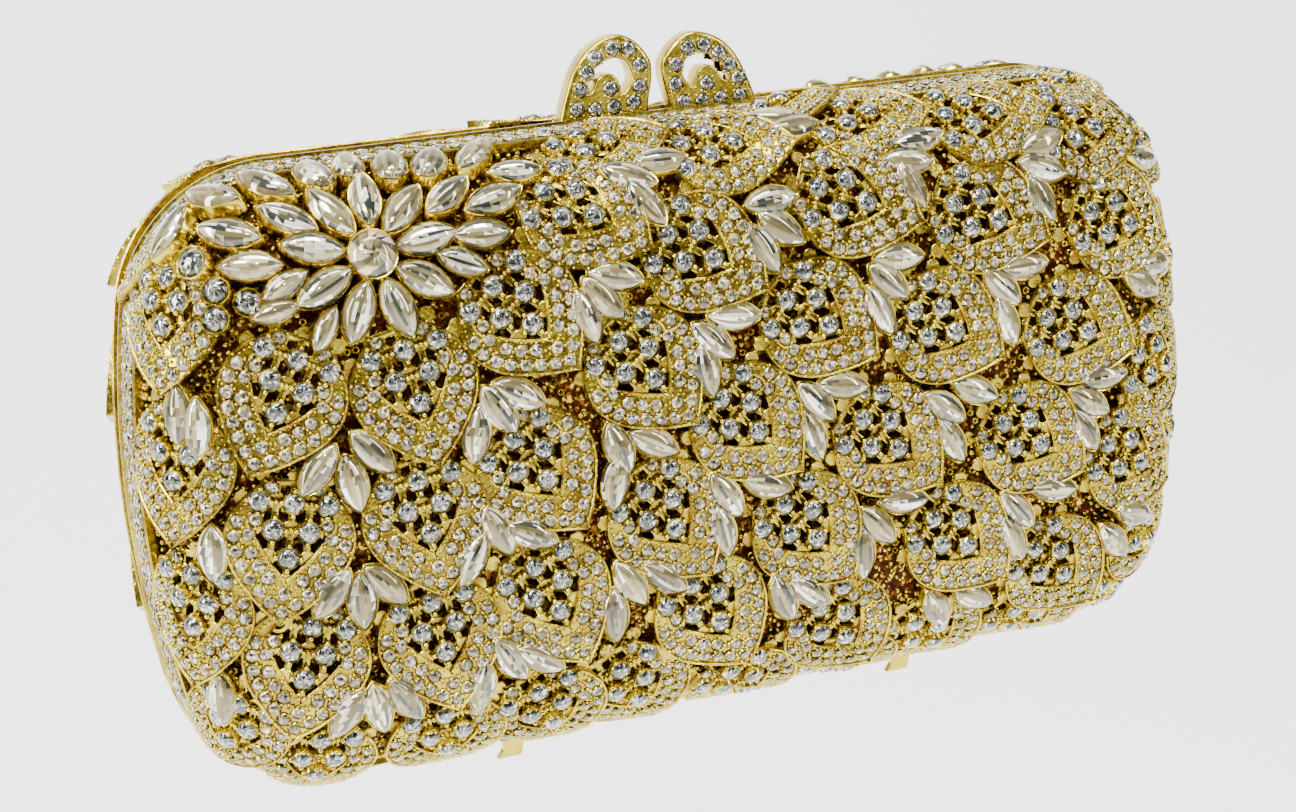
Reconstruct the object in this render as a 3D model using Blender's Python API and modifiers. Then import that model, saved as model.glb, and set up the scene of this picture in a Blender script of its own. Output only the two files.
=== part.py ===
"""An evening clutch: two openwork metal half shells, hinged along the bottom, with a kiss-lock clasp.

Metres, +Z up. The bag stands on its feet on z = 0, its length runs along X and its front faces -Y.
"""
import math

import bmesh
import bpy
from mathutils import Matrix, Vector

# Outer form of one half, seen from the front and in section
half_length = 0.095
half_height = 0.0517
corner_radius = 0.02545
end_bow_degrees = 10.3
edge_depth = 0.0235
crown_height = 0.003
profile_power = 2.49
foot_reach = 0.003

# Depth of each layer below the outer form
casting_thickness = 0.0011
leaf_root_depth = 0.0013
leaf_tip_depth = 0.0001
fan_depth = 0.0009
edge_band_depth = 0.0010
edge_band_width = 0.0070
backing_depth = 0.0033
backing_thickness = 0.0008
lining_depth = 0.0044
lining_thickness = 0.0008

# Frame hoops at the seam
seam_half_gap = 0.00015
lip_inset = 0.0012
lip_thickness = 0.00185
lip_edge_round = 0.0004
flange_inset = 0.0062
flange_thickness = 0.0008
flange_height = 0.0026
seat_clearance = 0.0003
bowl_rim_clearance = 0.0006
bend_shares = [0.80, 0.58, 0.32]

# Openwork pattern of leaf scales and fans of pointed stones
leaf_width = 0.020
leaf_length = 0.0235
leaf_overlap_width = 0.0216
leaf_half_width_shares = [(0.0, 0.0), (0.28, 0.72), (0.62, 1.0), (1.0, 0.34)]
slot_shares = [(0.30, 0.0), (0.64, 0.52), (0.80, 0.26), (0.45, 0.0)]
fan_reach = 0.0112
fan_root_width = 0.0022
fan_petal_half_width = 0.0019
fan_petal_middle = 0.0066
fan_valley_reach = 0.0074
fan_spread_degrees = 38

# Tip along, tip across and heading of each leaf; places are shares of the leaf's width
leaf_place_shares = [
    (-3.95, 0.35, -119), (-2.50, 0.20, -80), (-3.85, -0.85, -103), (-2.55, -0.85, -83),
    (-3.85, -1.85, -105), (-2.50, -1.85, -81), (-3.75, -2.90, -98), (-2.50, -2.90, -84),
    (-1.30, 0.80, -50), (-1.35, -0.50, -57), (-1.40, -1.65, -66), (-1.45, -2.80, -68),
    (-0.60, 1.65, -38), (0.35, 1.20, -35), (0.85, 2.35, -12), (-0.15, 2.65, -5),
    (-0.35, 0.20, -52), (1.30, 0.50, -37), (0.55, -0.35, -47), (1.85, -0.70, -44),
    (-0.30, -1.10, -57), (1.00, -1.40, -52), (0.05, -2.00, -58), (1.30, -2.40, -52),
    (-0.65, -2.70, -62), (0.45, -3.00, -58), (1.80, 1.55, -25), (3.00, 1.25, -25),
    (3.25, 2.35, -8), (2.15, 2.50, -12), (2.50, 0.30, -32), (3.85, 0.15, -25),
    (4.35, 1.05, -22), (3.30, -0.85, -35), (2.50, -1.70, -44), (4.40, -1.20, -32),
    (3.50, -2.20, -45), (4.15, 2.00, -15), (4.85, -0.30, -22), (2.30, -2.80, -50),
    (5.15, 0.65, -20), (4.60, -2.10, -40),
    (-4.55, 1.00, -95), (-4.60, -0.20, -95), (-4.60, -1.40, -95), (-5.10, 1.75, -95),
    (-4.60, -2.45, -110), (1.50, -3.10, -55), (3.35, -2.95, -50), (4.35, -2.85, -45),
    (5.15, -1.05, -28), (4.95, 1.75, -25), (4.35, 2.75, -10), (1.55, 3.00, -8),
]

# Root along, root across and heading of each fan; places are shares of the leaf's width
fan_place_shares = [
    (-3.20, 0.60, -90), (-3.20, -0.45, -92), (-3.20, -1.40, -88), (-2.15, 0.85, -62),
    (-2.20, -0.15, -65), (-2.22, -1.25, -65), (-1.30, 1.55, -45), (-1.05, 0.30, -65),
    (-1.10, -0.80, -60), (-0.85, 2.40, -28), (-0.32, 1.05, -45), (-0.25, -0.20, -52),
    (0.20, 1.85, -35), (0.57, 0.45, -45), (0.25, -1.20, -52), (1.05, -0.70, -48),
    (1.25, 1.30, -38), (1.80, 0.15, -42), (1.55, 2.15, -25), (2.45, -0.90, -42),
    (2.35, 1.10, -35), (2.75, 2.00, -22), (3.15, 0.05, -32), (3.70, 1.00, -30),
    (3.95, 1.90, -5), (3.45, -1.35, -35), (1.75, -1.60, -45), (-4.30, 1.10, -95),
    (-4.30, 0.00, -95), (-4.30, -1.20, -95), (0.60, -2.15, -55), (-0.60, -1.90, -62),
]

# Flower of pointed stones; places are shares of the leaf's width, lengths shares of a petal's
flower_centre_share = (-2.825, 1.90)
flower_stone_radius = 0.0035
flower_ring_radius = 0.0088
flower_ring_degrees = [8, 46, 84, 122, 166, 206, 248, 289, 328]
petal_length = 0.0094
petal_width = 0.0044
petal_height = 0.0017
petal_lift = -0.0007
petal_table_share = 0.45
petal_shoulder_share = 0.35
flower_stone_height = 0.0022
outer_petal_shares = [
    (-3.86, 2.22, 160, 1.0), (-3.74, 1.94, 175, 0.95), (-3.51, 1.76, 205, 0.8), (-3.61, 1.58, 190, 0.75),
    (-3.25, 1.40, 240, 0.75), (-3.39, 2.27, 148, 0.95), (-3.48, 2.63, 140, 1.0), (-3.96, 2.62, 155, 1.0),
    (-3.08, 2.67, 118, 0.9), (-2.80, 2.72, 90, 0.8), (-2.49, 2.66, 80, 0.9), (-2.18, 2.63, 60, 0.9),
    (-2.14, 2.29, 35, 0.95), (-1.79, 2.21, 15, 1.0), (-1.95, 1.95, -3, 0.95), (-2.14, 1.76, -25, 0.85),
    (-1.80, 2.68, 45, 0.95), (-1.55, 2.43, -5, 0.85),
]
flower_seat_shares = [
    (-4.15, 2.20), (-4.05, 2.75), (-3.00, 2.92), (-1.65, 2.88), (-1.30, 2.45), (-1.75, 1.95),
    (-2.05, 1.60), (-2.60, 1.25), (-3.30, 1.25), (-3.85, 1.45),
]

# Clasp paddles: outline and window from the seam's middle and from the lip's top
paddle_width = 0.0169
paddle_height = 0.0130
paddle_thickness = 0.0039
paddle_half_gap = 0.0009
paddle_edge_round = 0.0004
paddle_outline_shares = [
    (1.0, 0.0), (0.955, 0.20), (0.86, 0.51), (0.77, 0.71), (0.645, 0.87), (0.48, 0.975), (0.32, 1.0),
    (0.195, 0.94), (0.095, 0.83), (0.01, 0.67), (0.0, 0.53), (0.012, 0.39), (0.047, 0.21), (0.07, 0.0),
]
paddle_window_shares = [
    (0.53, 0.68), (0.37, 0.715), (0.28, 0.66), (0.235, 0.56), (0.225, 0.46), (0.30, 0.34), (0.345, 0.30),
    (0.355, 0.48), (0.44, 0.605), (0.57, 0.605), (0.655, 0.485), (0.70, 0.315), (0.745, 0.335), (0.665, 0.55),
]

# Hinges
hinge_place = 0.045
hinge_length = 0.016
hinge_middle_length = 0.0066
knuckle_radius = 0.0015
hinge_pin_radius = 0.0006
hinge_bore_radius = 0.0009
hinge_pin_head_radius = 0.0012
hinge_pin_head_length = 0.0004
hinge_tab_height = 0.0029
hinge_tab_thickness = 0.0012

# Feet
foot_place = 0.0372
foot_row = 0.0065
foot_top_width = 0.0058
foot_thickness = 0.0012
foot_top_drop = 0.0005
foot_hole_clearance = 0.0006
foot_outline_shares = [
    (-0.5, 1.0), (0.5, 1.0), (0.38, 0.25), (0.30, 0.0), (-0.40, 0.0), (-0.22, 0.22), (-0.20, 0.45),
]

# Rings for a chain, inside the back half
ring_end_inset = 0.031
ring_row = 0.0042
ring_radius = 0.0040
ring_wire_radius = 0.0006
eyelet_radius = 0.0016
eyelet_wire_radius = 0.0005
eyelet_base_width = 0.0026
eyelet_base_thickness = 0.0007

# Facet counts and limits of the modelling steps
corner_steps = 4
profile_samples = 400
face_across_steps = 2
face_up_steps = 1
round_sides = 12
wire_sides = 6
ring_sides = 16
overrun = 0.010
hole_overrun = 0.0025
weld_distance = 0.00001
level_angle_degrees = 0.5
smooth_angle_degrees = 35
bevel_angle_degrees = 60

# Derived sizes
end_bow = math.radians(end_bow_degrees)
end_core_radius = (half_height - corner_radius) / math.sin(end_bow)
end_centre = half_length - corner_radius - end_core_radius
core_x = end_centre + end_core_radius * math.cos(end_bow)
core_z = half_height - corner_radius
stand = half_height + foot_reach
lip_front = seam_half_gap + lip_thickness
casting_edge = lip_front + seat_clearance
lip_top = half_height - lip_inset
hinge_drop = lip_top + seat_clearance + knuckle_radius
flange_top = half_height - flange_inset - flange_thickness
ring_place = half_length - ring_end_inset
eyelet_height = flange_top - seat_clearance - eyelet_base_thickness - eyelet_radius
casting_underside = leaf_root_depth + casting_thickness
setting_root_depth = leaf_root_depth + casting_thickness / 2


def profile_table():
    """Plan distance, depth and arc length along the section, from the face's edge to the seam."""
    rows = []
    length = 0.0
    for step in range(profile_samples + 1):
        angle = math.pi / 2 * step / profile_samples
        plan = corner_radius * math.sin(angle) ** (2 / profile_power)
        depth = edge_depth * max(math.cos(angle), 0.0) ** (2 / profile_power)
        if rows:
            length += math.hypot(plan - rows[-1][0], depth - rows[-1][1])
        rows.append((plan, depth, length))
    return rows


profile = profile_table()
wrap_length = profile[-1][2]
bowl_rim = wrap_length - lip_front - bowl_rim_clearance
foot_flat_row = -core_z - wrap_length + foot_row


def profile_at(distance):
    """Plan distance and depth at a distance along the section; past the seam the wall runs straight on."""
    if distance >= wrap_length:
        return corner_radius, wrap_length - distance
    low = 0
    high = len(profile) - 1
    while high - low > 1:
        middle = (low + high) // 2
        if profile[middle][2] <= distance:
            low = middle
        else:
            high = middle
    span = profile[high][2] - profile[low][2]
    share = (distance - profile[low][2]) / span if span else 0.0
    plan = profile[low][0] + share * (profile[high][0] - profile[low][0])
    depth = profile[low][1] + share * (profile[high][1] - profile[low][1])
    return plan, depth


def wrap(u, v, lift):
    """Point of the front half at flat place u, v, lifted along the form's outward normal."""
    side_x = math.copysign(1, u)
    side_z = math.copysign(1, v)
    across = abs(u)
    up = abs(v)
    reach = math.hypot(across - end_centre, up)
    bearing = math.atan2(up, across - end_centre)
    if across > core_x and bearing <= end_bow:
        normal = (math.cos(bearing), math.sin(bearing))
        distance = max(reach - end_core_radius, 0.0)
    else:
        over = (max(across - core_x, 0.0), max(up - core_z, 0.0))
        distance = math.hypot(*over)
        normal = (over[0] / distance, over[1] / distance) if distance else (0.0, 0.0)
    plan, depth = profile_at(distance)
    x = (across + normal[0] * (plan - distance)) * side_x
    z = (up + normal[1] * (plan - distance)) * side_z
    fall_x = max(1 - (x / half_length) ** 2, 0.0)
    fall_z = max(1 - (z / half_height) ** 2, 0.0)
    steep = (plan / corner_radius) ** (profile_power - 1) / corner_radius
    flat = (max(depth, 0.0) / edge_depth) ** (profile_power - 1) / edge_depth
    lean_x = 2 * crown_height * x / half_length ** 2 * fall_z
    lean_z = 2 * crown_height * z / half_height ** 2 * fall_x
    outward = Vector((steep * normal[0] * side_x + flat * lean_x, -flat,
                      steep * normal[1] * side_z + flat * lean_z))
    point = Vector((x, -depth - crown_height * fall_x * fall_z, z))
    return point + outward.normalized() * lift


def stations():
    """Core points and outline normals once round the bag, the same for every hoop and bowl."""
    quarter = [(end_centre + end_core_radius, 0.0, 1.0, 0.0)]
    for step in range(corner_steps + 1):
        angle = end_bow + (math.pi / 2 - end_bow) * step / corner_steps
        quarter.append((core_x, core_z, math.cos(angle), math.sin(angle)))
    quarter.append((core_x / 2, core_z, 0.0, 1.0))
    quarter.append((0.0, core_z, 0.0, 1.0))
    ring = []
    for mirror_x, mirror_z in ((1, 1), (-1, 1), (-1, -1), (1, -1)):
        part = quarter if mirror_x == mirror_z else quarter[::-1]
        ring += [(x * mirror_x, z * mirror_z, nx * mirror_x, nz * mirror_z) for x, z, nx, nz in part[:-1]]
    return ring


# Scene helpers
for old in list(bpy.data.objects):
    bpy.data.objects.remove(old)
clutch = bpy.data.collections.new("clutch")
bpy.context.scene.collection.children.link(clutch)
tools = bpy.data.collections.new("tools")
bpy.context.scene.collection.children.link(tools)


def material(name, colour, roughness, metallic):
    made = bpy.data.materials.new(name)
    made.use_nodes = True
    shader = made.node_tree.nodes["Principled BSDF"]
    shader.inputs["Base Color"].default_value = (*colour, 1.0)
    shader.inputs["Roughness"].default_value = roughness
    shader.inputs["Metallic"].default_value = metallic
    made.diffuse_color = (*colour, 1.0)
    return made


gold = (0.83, 0.66, 0.30)
materials = {
    "casting": material("casting_gold", gold, 0.28, 1.0),
    "frame": material("frame_gold", (0.87, 0.72, 0.36), 0.16, 1.0),
    "backing": material("backing_glitter", (0.20, 0.09, 0.03), 0.45, 0.3),
    "lining": material("lining_fabric", (0.78, 0.66, 0.42), 0.75, 0.0),
    "stone": material("clear_stone", (0.90, 0.88, 0.82), 0.05, 0.0),
}


def add(mesh, name, finish):
    """Object from a mesh, shaded smooth where its faces meet at a low angle."""
    made = bpy.data.objects.new(name, mesh)
    clutch.objects.link(made)
    mesh.materials.clear()
    mesh.materials.append(materials[finish])
    mesh.shade_smooth()
    mesh.set_sharp_from_angle(angle=math.radians(smooth_angle_degrees))
    return made


def mesh_from(work, name):
    bmesh.ops.recalc_face_normals(work, faces=work.faces)
    mesh = bpy.data.meshes.new(name)
    work.to_mesh(mesh)
    work.free()
    return mesh


def solved(target, operands, operation):
    """The target joined to the operands or cut by them, as one mesh; the operands are used up."""
    group = bpy.data.collections.new("operands")
    tools.children.link(group)
    for operand in operands:
        group.objects.link(operand)
    step = target.modifiers.new(operation.lower(), "BOOLEAN")
    step.operation = operation
    step.operand_type = "COLLECTION"
    step.collection = group
    step.solver = "EXACT"
    view = bpy.context.evaluated_depsgraph_get()
    mesh = bpy.data.meshes.new_from_object(target.evaluated_get(view))
    target.modifiers.remove(step)
    target.data = mesh
    for operand in operands:
        bpy.data.objects.remove(operand)
    bpy.data.collections.remove(group)
    return target


def tool(work):
    """Helper object that a Boolean uses up."""
    made = bpy.data.objects.new("tool", mesh_from(work, "tool"))
    made.hide_render = True
    made.display_type = "WIRE"
    tools.objects.link(made)
    return made


def box(low, high):
    work = bmesh.new()
    bmesh.ops.create_cube(work, size=1.0)
    for vertex in work.verts:
        vertex.co = Vector([a + (b - a) * (c + 0.5) for a, b, c in zip(low, high, vertex.co)])
    return work


def rod(radius, low, high, y, z):
    """Round bar along X."""
    work = bmesh.new()
    turn = Matrix.Rotation(math.pi / 2, 4, "Y")
    bmesh.ops.create_cone(work, cap_ends=True, segments=round_sides, radius1=radius, radius2=radius,
                          depth=high - low, matrix=Matrix.Translation(((low + high) / 2, y, z)) @ turn)
    return work


def flat_plate(outlines, thickness):
    """Closed plate from one outer and any inner outlines, centred on its mid plane."""
    curve = bpy.data.curves.new("outline", "CURVE")
    curve.dimensions = "2D"
    curve.fill_mode = "BOTH"
    curve.extrude = thickness / 2
    for outline in outlines:
        spline = curve.splines.new("POLY")
        spline.points.add(len(outline) - 1)
        for point, place in zip(spline.points, outline):
            point.co = (place[0], place[1], 0.0, 1.0)
        spline.use_cyclic_u = True
    holder = bpy.data.objects.new("outline", curve)
    tools.objects.link(holder)
    view = bpy.context.evaluated_depsgraph_get()
    mesh = bpy.data.meshes.new_from_object(holder.evaluated_get(view))
    bpy.data.objects.remove(holder)
    work = bmesh.new()
    work.from_mesh(mesh)
    bmesh.ops.remove_doubles(work, verts=work.verts, dist=weld_distance)
    bpy.data.meshes.remove(mesh)
    return work


def mirrored(points):
    """Outline from its tip down both sides; points give distance back and half width."""
    right = [(half, -back) for back, half in points]
    left = [(-half, -back) for back, half in reversed(points) if half]
    return right + left


def cut_lines(work, axis, places):
    """Edges across a plate where it has to bend."""
    normal = Vector([1.0 if index == axis else 0.0 for index in range(3)])
    for place in places:
        parts = work.verts[:] + work.edges[:] + work.faces[:]
        bmesh.ops.bisect_plane(work, geom=parts, dist=weld_distance, plane_co=normal * place,
                               plane_no=normal)


def bend_places(core, count):
    """Places of the fold lines across the flat face and on both sides of it."""
    outer = [core + bowl_rim * share for share in bend_shares]
    inner = [core * step / count for step in range(-count, count + 1)]
    return inner + outer + [-place for place in outer]


def leaf_depth(back):
    """Depth of a leaf's top below the outer form, from its raised tip to its root."""
    share = min(max(back / leaf_length, 0.0), 1.0)
    return leaf_tip_depth + (leaf_root_depth - leaf_tip_depth) * share


def laid(work, place, heading_degrees, depth_at):
    """Plate in the flat pattern: local +Y is its heading, its top follows depth_at over a level underside."""
    heading = math.radians(heading_degrees)
    ahead = Vector((math.cos(heading), math.sin(heading)))
    aside = Vector((-ahead.y, ahead.x))
    for vertex in work.verts:
        flat = Vector(place) + ahead * vertex.co.y - aside * vertex.co.x
        height = -depth_at(-vertex.co.y) if vertex.co.z > 0 else -casting_underside
        vertex.co = (flat.x, flat.y, height)
    return work


def wrapped(mesh):
    """Flat pattern with its level faces made whole, folded over the front form along its bend lines."""
    work = bmesh.new()
    work.from_mesh(mesh)
    bmesh.ops.dissolve_limit(work, angle_limit=math.radians(level_angle_degrees), verts=work.verts,
                             edges=work.edges)
    cut_lines(work, 0, bend_places(core_x, face_across_steps))
    cut_lines(work, 1, bend_places(core_z, face_up_steps))
    for vertex in work.verts:
        vertex.co = wrap(*vertex.co)
    work.to_mesh(mesh)
    work.free()
    return mesh


def leaf():
    """One leaf scale: pointed band round a tongue, with a slot along both sides of the tongue."""
    half_width = leaf_overlap_width / 2
    outline = mirrored([(back * leaf_length, share * half_width) for back, share in leaf_half_width_shares])
    slot = [(half * leaf_width / 2, -back * leaf_length) for back, half in slot_shares]
    slot += [(-x, y) for x, y in reversed(slot) if x]
    return flat_plate([outline, slot], casting_thickness)


def fan():
    """Three pointed settings spreading from one root."""
    def at(reach, angle, aside):
        return (math.sin(angle) * reach + math.cos(angle) * aside,
                math.cos(angle) * reach - math.sin(angle) * aside)
    spread = math.radians(fan_spread_degrees)
    right = [at(fan_reach, 0.0, 0.0), at(fan_valley_reach, spread / 2, 0.0), at(fan_reach, spread, 0.0),
             at(fan_petal_middle, spread, fan_petal_half_width), (fan_root_width / 2, 0.0)]
    left = [(-x, y) for x, y in reversed(right) if x]
    return flat_plate([right + left], casting_thickness)


def in_widths(shares):
    return tuple(share * leaf_width for share in shares)


def polar(reach, angle):
    return (reach * math.cos(angle), reach * math.sin(angle))


def flower_seat():
    """Plate under the flower's stones."""
    return flat_plate([[in_widths(shares) for shares in flower_seat_shares][::-1]], casting_thickness)


def hoop(section):
    """Ring round the bag; the section gives inset from the outer form and depth behind the seam plane."""
    work = bmesh.new()
    rows = []
    for x, z, nx, nz in stations():
        row = [work.verts.new((x + nx * (corner_radius - inset), -depth, z + nz * (corner_radius - inset)))
               for inset, depth in section]
        rows.append(row)
    for row, following in zip(rows, rows[1:] + rows[:1]):
        for index in range(len(section)):
            ahead = (index + 1) % len(section)
            work.faces.new((row[index], row[ahead], following[ahead], following[index]))
    return work


def seam_outline(distance):
    """Outline in the flat pattern at a distance from the core, parallel to the seam."""
    return [(x + nx * distance, z + nz * distance) for x, z, nx, nz in stations()]


def bowl(name, depth, thickness, finish):
    """Smooth half shell below the outer form, open at the seam."""
    work = bmesh.new()
    ring_places = [seam_outline(bowl_rim * share) for share in (1, *bend_shares, 0)]
    ring_places.append([(x / 2, z / 2) for x, z in ring_places[-1]])
    rings = [[work.verts.new(wrap(u, v, -depth)) for u, v in places] for places in ring_places]
    centre = work.verts.new(wrap(0.0, 0.0, -depth))
    count = len(rings[0])
    for outer, inner in zip(rings, rings[1:]):
        for index in range(count):
            ahead = (index + 1) % count
            work.faces.new((outer[index], outer[ahead], inner[ahead], inner[index]))
    for index in range(count):
        work.faces.new((rings[-1][index], rings[-1][(index + 1) % count], centre))
    bmesh.ops.recalc_face_normals(work, faces=work.faces)
    if sum(face.normal.y * face.calc_area() for face in work.faces) > 0:
        bmesh.ops.reverse_faces(work, faces=work.faces)
    mesh = bpy.data.meshes.new(name)
    work.to_mesh(mesh)
    work.free()
    made = add(mesh, name, finish)
    skin = made.modifiers.new("wall", "SOLIDIFY")
    skin.thickness = thickness
    skin.offset = -1.0
    made.modifiers.new("split", "TRIANGULATE")
    view = bpy.context.evaluated_depsgraph_get()
    made.data = bpy.data.meshes.new_from_object(made.evaluated_get(view))
    made.modifiers.clear()
    return made


def cut_stone(outline, height, table):
    """Faceted stone: flat base and girdle outline, crown drawn in to a flat table."""
    work = bmesh.new()
    base = work.faces.new([work.verts.new((x, y, 0.0)) for x, y in outline])
    top = bmesh.ops.extrude_face_region(work, geom=[base])
    for vertex in [item for item in top["geom"] if isinstance(item, bmesh.types.BMVert)]:
        vertex.co = Vector((vertex.co.x * table, vertex.co.y * table, height))
    bmesh.ops.recalc_face_normals(work, faces=work.faces)
    return work


def petal(size, height):
    """Pointed oval stone along its heading."""
    half = petal_length * size / 2
    wide = petal_width * size / 2
    shoulder = half * petal_shoulder_share
    right = [(0.0, -half), (wide, -shoulder), (wide, shoulder), (0.0, half)]
    outline = right + [(-x, y) for x, y in reversed(right) if x]
    return cut_stone(outline, height, petal_table_share)


def set_on_form(work, place, heading_degrees, lift):
    """Stone set rigidly on the form at a flat place, its base at a lift above the outer form."""
    heading = math.radians(heading_degrees)
    seat = wrap(*place, lift)
    up = (seat - wrap(*place, lift - petal_height)).normalized()
    further = (place[0] + math.cos(heading) * petal_width, place[1] + math.sin(heading) * petal_width)
    ahead = wrap(*further, lift) - seat
    ahead = (ahead - up * ahead.dot(up)).normalized()
    aside = ahead.cross(up)
    axes = Matrix((aside, ahead, up)).transposed().to_4x4()
    bmesh.ops.transform(work, verts=work.verts, matrix=Matrix.Translation(seat) @ axes)
    return work


def petal_setting(place, heading_degrees, size):
    """Raised setting of an outer petal in the flat pattern, sunk into the flower seat."""
    work = petal(size, petal_height + petal_lift + setting_root_depth)
    turn = Matrix.Rotation(math.radians(heading_degrees) - math.pi / 2, 4, "Z")
    sunk = Matrix.Translation((*place, -setting_root_depth))
    bmesh.ops.transform(work, verts=work.verts, matrix=sunk @ turn)
    return work


def casting(name):
    """Openwork half shell: edge band, leaves, fans, flower seat and outer petal settings in one piece."""
    seam = wrap_length - casting_edge
    band = flat_plate([seam_outline(seam + overrun), seam_outline(seam - edge_band_width)], casting_thickness)
    pieces = [laid(flower_seat(), (0.0, 0.0), 90, lambda back: leaf_root_depth)]
    for u, v, heading in leaf_place_shares:
        pieces.append(laid(leaf(), in_widths((u, v)), heading, leaf_depth))
    for u, v, heading in fan_place_shares:
        pieces.append(laid(fan(), in_widths((u, v)), heading, lambda back: fan_depth))
    for u, v, heading, size in outer_petal_shares:
        pieces.append(petal_setting(in_widths((u, v)), heading, size))
    made = add(mesh_from(laid(band, (0.0, 0.0), 90, lambda back: edge_band_depth), name), name, "casting")
    solved(made, [tool(piece) for piece in pieces], "UNION")
    within = flat_plate([seam_outline(seam)], overrun)
    solved(made, [tool(within)], "INTERSECT")
    solved(made, [tool(foot_hole(side)) for side in (-1, 1)], "DIFFERENCE")
    wrapped(made.data)
    made.data.materials.clear()
    made.data.materials.append(materials["casting"])
    return made


def foot_hole(side):
    """Cutter in the flat pattern where a foot passes through the casting."""
    centre = side * foot_place
    wide = foot_top_width / 2 + foot_hole_clearance
    deep = foot_thickness / 2 + foot_hole_clearance
    return box((centre - wide, foot_flat_row - deep, -casting_underside - hole_overrun),
               (centre + wide, foot_flat_row + deep, hole_overrun))


def foot(name, side):
    """Thin claw-shaped plate that passes through the casting to the table."""
    seat = wrap(side * foot_place, foot_flat_row, -casting_underside / 2)
    top = wrap(side * foot_place, foot_flat_row, -backing_depth).z - foot_top_drop
    height = top + stand
    outline = [(x * foot_top_width, z * height) for x, z in foot_outline_shares]
    work = flat_plate([outline], foot_thickness)
    bmesh.ops.transform(work, matrix=Matrix.Translation((seat.x, seat.y, -stand))
                        @ Matrix.Rotation(math.pi / 2, 4, "X"), verts=work.verts)
    return add(mesh_from(work, name), name, "frame")


def frame(name):
    """Gold hoop: a lip at the seam and a flange inside the lining; the lip is notched for the hinges."""
    outer = lip_inset
    inner = flange_inset + flange_thickness
    near = seam_half_gap
    far = lip_front
    section = [(outer, near + lip_edge_round), (outer + lip_edge_round, near), (inner, near),
               (inner, far + flange_height), (flange_inset, far + flange_height), (flange_inset, far),
               (outer + lip_edge_round, far), (outer, far - lip_edge_round)]
    made = add(mesh_from(hoop(section), name), name, "frame")
    notches = []
    for side in (-1, 1):
        wide = hinge_length / 2 + seat_clearance
        centre = side * hinge_place
        top = -lip_top + hinge_tab_height + seat_clearance
        notches.append(tool(box((centre - wide, -far - overrun, -stand), (centre + wide, overrun, top))))
    return solved(made, notches, "DIFFERENCE")


def knuckle_spans(side, middle):
    """Spans along X of the middle knuckle or of the two outer ones."""
    centre = side * hinge_place
    if middle:
        return [(centre - hinge_middle_length / 2, centre + hinge_middle_length / 2)]
    inner = hinge_middle_length / 2 + seat_clearance
    return [(centre - hinge_length / 2, centre - inner), (centre + inner, centre + hinge_length / 2)]


def hinge_leaf(name, side, middle):
    """Tab in the lip's notch with its knuckles, bored for the pin; modelled on the front half."""
    centre = side * hinge_place
    axis = -hinge_drop
    near = seam_half_gap + (lip_thickness - hinge_tab_thickness) / 2
    far = near + hinge_tab_thickness
    low = axis + knuckle_radius + seat_clearance
    top = -lip_top + hinge_tab_height
    tab = box((centre - hinge_length / 2, -far, low), (centre + hinge_length / 2, -near, top))
    made = add(mesh_from(tab, name), name, "frame")
    spans = knuckle_spans(side, middle)
    arms = [tool(box((start, -far, axis + hinge_pin_radius), (end, -near, top - hinge_tab_height / 2)))
            for start, end in spans]
    rolls = [tool(rod(knuckle_radius, start, end, 0.0, axis)) for start, end in spans]
    solved(made, arms + rolls, "UNION")
    bore = tool(rod(hinge_bore_radius, centre - hinge_length, centre + hinge_length, 0.0, axis))
    return solved(made, [bore], "DIFFERENCE")


def hinge_pin(name, side):
    """Turned pin with a head at both ends."""
    half = hinge_length / 2 + seat_clearance
    end = half + hinge_pin_head_length
    profile_points = [(0.0, end), (hinge_pin_head_radius, end), (hinge_pin_head_radius, half),
                      (hinge_pin_radius, half), (hinge_pin_radius, -half), (hinge_pin_head_radius, -half),
                      (hinge_pin_head_radius, -end), (0.0, -end)]
    mesh = bpy.data.meshes.new(name)
    edges = [(index, index + 1) for index in range(len(profile_points) - 1)]
    mesh.from_pydata([(x, 0.0, z) for x, z in profile_points], edges, [])
    made = add(mesh, name, "frame")
    turn = made.modifiers.new("turn", "SCREW")
    turn.steps = round_sides
    turn.render_steps = round_sides
    turn.use_merge_vertices = True
    turn.merge_threshold = weld_distance
    view = bpy.context.evaluated_depsgraph_get()
    made.data = bpy.data.meshes.new_from_object(made.evaluated_get(view))
    made.modifiers.clear()
    turned = Matrix.Rotation(math.pi / 2, 4, "Y")
    made.data.transform(Matrix.Translation((side * hinge_place, 0.0, -hinge_drop)) @ turned)
    return made


def paddle(name, side):
    """Scroll-shaped clasp paddle with an open window round its curled tip."""
    def placed(shares):
        return [(side * (paddle_half_gap + x * paddle_width), z * paddle_height) for x, z in shares]
    work = flat_plate([placed(paddle_outline_shares), placed(paddle_window_shares)], paddle_thickness)
    bmesh.ops.transform(work, matrix=Matrix.Translation((0.0, 0.0, lip_top + seat_clearance))
                        @ Matrix.Rotation(math.pi / 2, 4, "X"), verts=work.verts)
    made = add(mesh_from(work, name), name, "frame")
    edge = made.modifiers.new("edge", "BEVEL")
    edge.width = paddle_edge_round
    edge.segments = 1
    edge.limit_method = "ANGLE"
    edge.angle_limit = math.radians(bevel_angle_degrees)
    return made


def torus(name, major, minor, sides, place, axis):
    """Closed wire ring about an axis through its place."""
    bpy.ops.mesh.primitive_torus_add(major_radius=major, minor_radius=minor, major_segments=sides,
                                     minor_segments=wire_sides, align="WORLD", location=(0, 0, 0))
    primitive = bpy.context.object
    mesh = primitive.data
    bpy.data.objects.remove(primitive)
    mesh.transform(Matrix.Translation(place) @ Matrix.Rotation(math.pi / 2, 4, axis))
    return add(mesh, name, "frame")


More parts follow.
